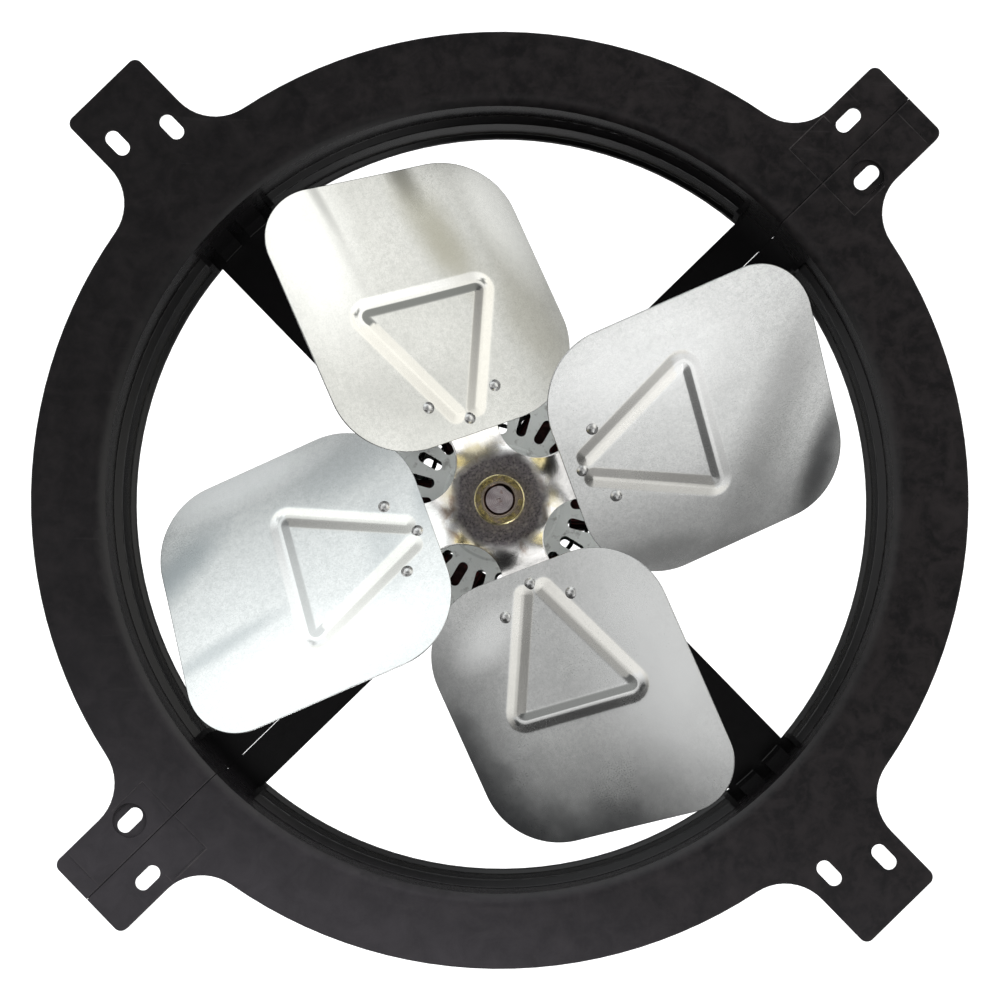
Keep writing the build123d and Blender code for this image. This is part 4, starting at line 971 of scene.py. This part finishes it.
def winding_leads():
    """Sleeved leads across the gaps between neighbouring coils."""
    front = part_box("stator_coils")[0][1] / MM
    verts, faces = [], []
    for k in range(COILS):
        middle = (k + 0.5) * 360 / COILS
        for radius, deeper, swing, thick in LEADS:
            v, f = tube(lead_path(middle, radius, front + deeper, swing), thick)
            start = len(verts)
            verts += v
            faces += [tuple(start + i for i in face) for face in f]
    obj = make_object("winding_leads", [v * MM for v in verts], faces, MATERIALS["bobbin_nylon"])
    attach(obj, "housing")


winding_leads()


# ------------------------------------------------------------------ the CAD pieces' finishes
SLOT_OF = {entry["node"]: entry["material_slot"] for entry in frame["record"]["subparts"]}
REPLACED = {"fan_spider"} | {f"{what}_{k}" for k in range(1, 5) for what in ("blade", "rivets")}
for node, slot in SLOT_OF.items():
    if node in REPLACED:
        continue
    obj = bpy.data.objects[node]
    if not obj.material_slots:
        obj.data.materials.append(MATERIALS[slot])
    for entry in obj.material_slots:
        entry.material = MATERIALS[slot]


# ------------------------------------------------------------------ stage and light
def cyclorama():
    """A pale round floor that curves up into a wall on every side, well away from the fan."""
    low, middle, reach, bend = -0.36, 0.5, 4.5, 0.8
    sides, steps = 96, 16
    profile = [(middle, low), (reach - bend, low)]
    for k in range(1, steps + 1):
        a = pi / 2 * k / steps
        profile.append((reach - bend + bend * sin(a), low + bend - bend * cos(a)))
    profile.append((reach, reach))
    verts = [(r * cos(2 * pi * k / sides), r * sin(2 * pi * k / sides), z)
             for r, z in profile for k in range(sides)]
    faces = [tuple(range(sides))]
    for i in range(len(profile) - 1):
        for k in range(sides):
            k1 = (k + 1) % sides
            faces.append((i * sides + k, (i + 1) * sides + k,
                          (i + 1) * sides + k1, i * sides + k1))
    n = Nodes("stage_white")
    n.shader(Base_Color=(0.85, 0.85, 0.85, 1), Roughness=0.9,
             Emission_Color=(1, 1, 1, 1), Emission_Strength=0.6)
    stage = make_object("stage", verts, faces, n.mat)
    stage.visible_glossy = stage.visible_diffuse = stage.visible_shadow = False


cyclorama()


def ahead_of_fan(x, z):
    """The direction in front of the fan whose sideways and upward parts are x and z."""
    return (x, -sqrt(1 - x * x - z * z), z)


def studio(ambient, panels, shades):
    """A soft sky: panels (direction, inner, outer, strength, tint) add light, and shades
    (direction, inner, outer, share) take a share of it away. Angles in degrees."""
    world = bpy.data.worlds.new("studio")
    world.use_nodes = True
    tree = world.node_tree
    tree.nodes.clear()
    way = tree.nodes.new("ShaderNodeTexCoord").outputs["Generated"]

    def vector_math(operation, a, b):
        node = tree.nodes.new("ShaderNodeVectorMath")
        node.operation = operation
        for socket, value in zip(node.inputs, (a, b)):
            if isinstance(value, bpy.types.NodeSocket):
                tree.links.new(value, socket)
            else:
                socket.default_value = value
        return node.outputs["Value" if operation == "DOT_PRODUCT" else "Vector"]

    def blob(direction, inner, outer, low, high):
        node = tree.nodes.new("ShaderNodeMapRange")
        node.interpolation_type = "SMOOTHSTEP"
        tree.links.new(vector_math("DOT_PRODUCT", way, direction), node.inputs["Value"])
        node.inputs["From Min"].default_value = cos(radians(outer))
        node.inputs["From Max"].default_value = cos(radians(inner))
        node.inputs["To Min"].default_value = low
        node.inputs["To Max"].default_value = high
        return node.outputs[0]

    total = ambient
    for direction, inner, outer, strength, tint in panels:
        light = vector_math("MULTIPLY", blob(direction, inner, outer, 0, strength), tint)
        total = vector_math("ADD", light, total)
    for direction, inner, outer, share in shades:
        total = vector_math("MULTIPLY", blob(direction, inner, outer, 1, 1 - share), total)
    back = tree.nodes.new("ShaderNodeBackground")
    out = tree.nodes.new("ShaderNodeOutputWorld")
    tree.links.new(total, back.inputs["Color"])
    tree.links.new(back.outputs[0], out.inputs[0])
    scene.world = world


WHITE, COOL, WARM = (1, 1, 1), (0.95, 0.99, 1.0), (1.0, 0.995, 0.95)
studio(
    ambient=(0.30, 0.30, 0.305),
    panels=[
        (ahead_of_fan(-0.30, 0.86), 14, 34, 1.50, COOL),
        (ahead_of_fan(-0.22, 0.48), 4, 14, 0.45, COOL),
        (ahead_of_fan(-0.74, 0.50), 10, 24, 0.60, WHITE),
        (ahead_of_fan(0.80, 0.28), 18, 38, 1.35, WARM),
        (ahead_of_fan(0.45, 0.75), 10, 24, 0.70, WHITE),
        (ahead_of_fan(0.33, -0.78), 17, 28, 1.05, WHITE),
        (ahead_of_fan(-0.80, -0.12), 19, 31, 1.05, WHITE),
        (ahead_of_fan(-0.10, -0.25), 4, 15, 1.10, WHITE),
        ((0.44, -0.10, -0.87), 6, 15, 22.0, WHITE),
        ((-0.42, -0.10, -0.88), 6, 15, 28.0, WHITE),
        ((0.0, 0.6, 0.8), 20, 50, 0.60, WHITE),
        ((0.9, 0.45, 0.0), 20, 50, 0.70, WHITE),
        ((-0.9, 0.45, 0.0), 20, 50, 0.70, WHITE),
        ((0.0, 0.975, -0.22), 3, 9, 0.60, WHITE),
    ],
    shades=[
        (ahead_of_fan(-0.36, -0.76), 31, 35.5, 0.95),
        (ahead_of_fan(-0.05, 0.14), 8, 20, 0.80),
        ((0.0, 1.0, 0.12), 12, 30, 0.97),
        ((0.0, 0.2, 1.0), 10, 24, 0.60),
    ])
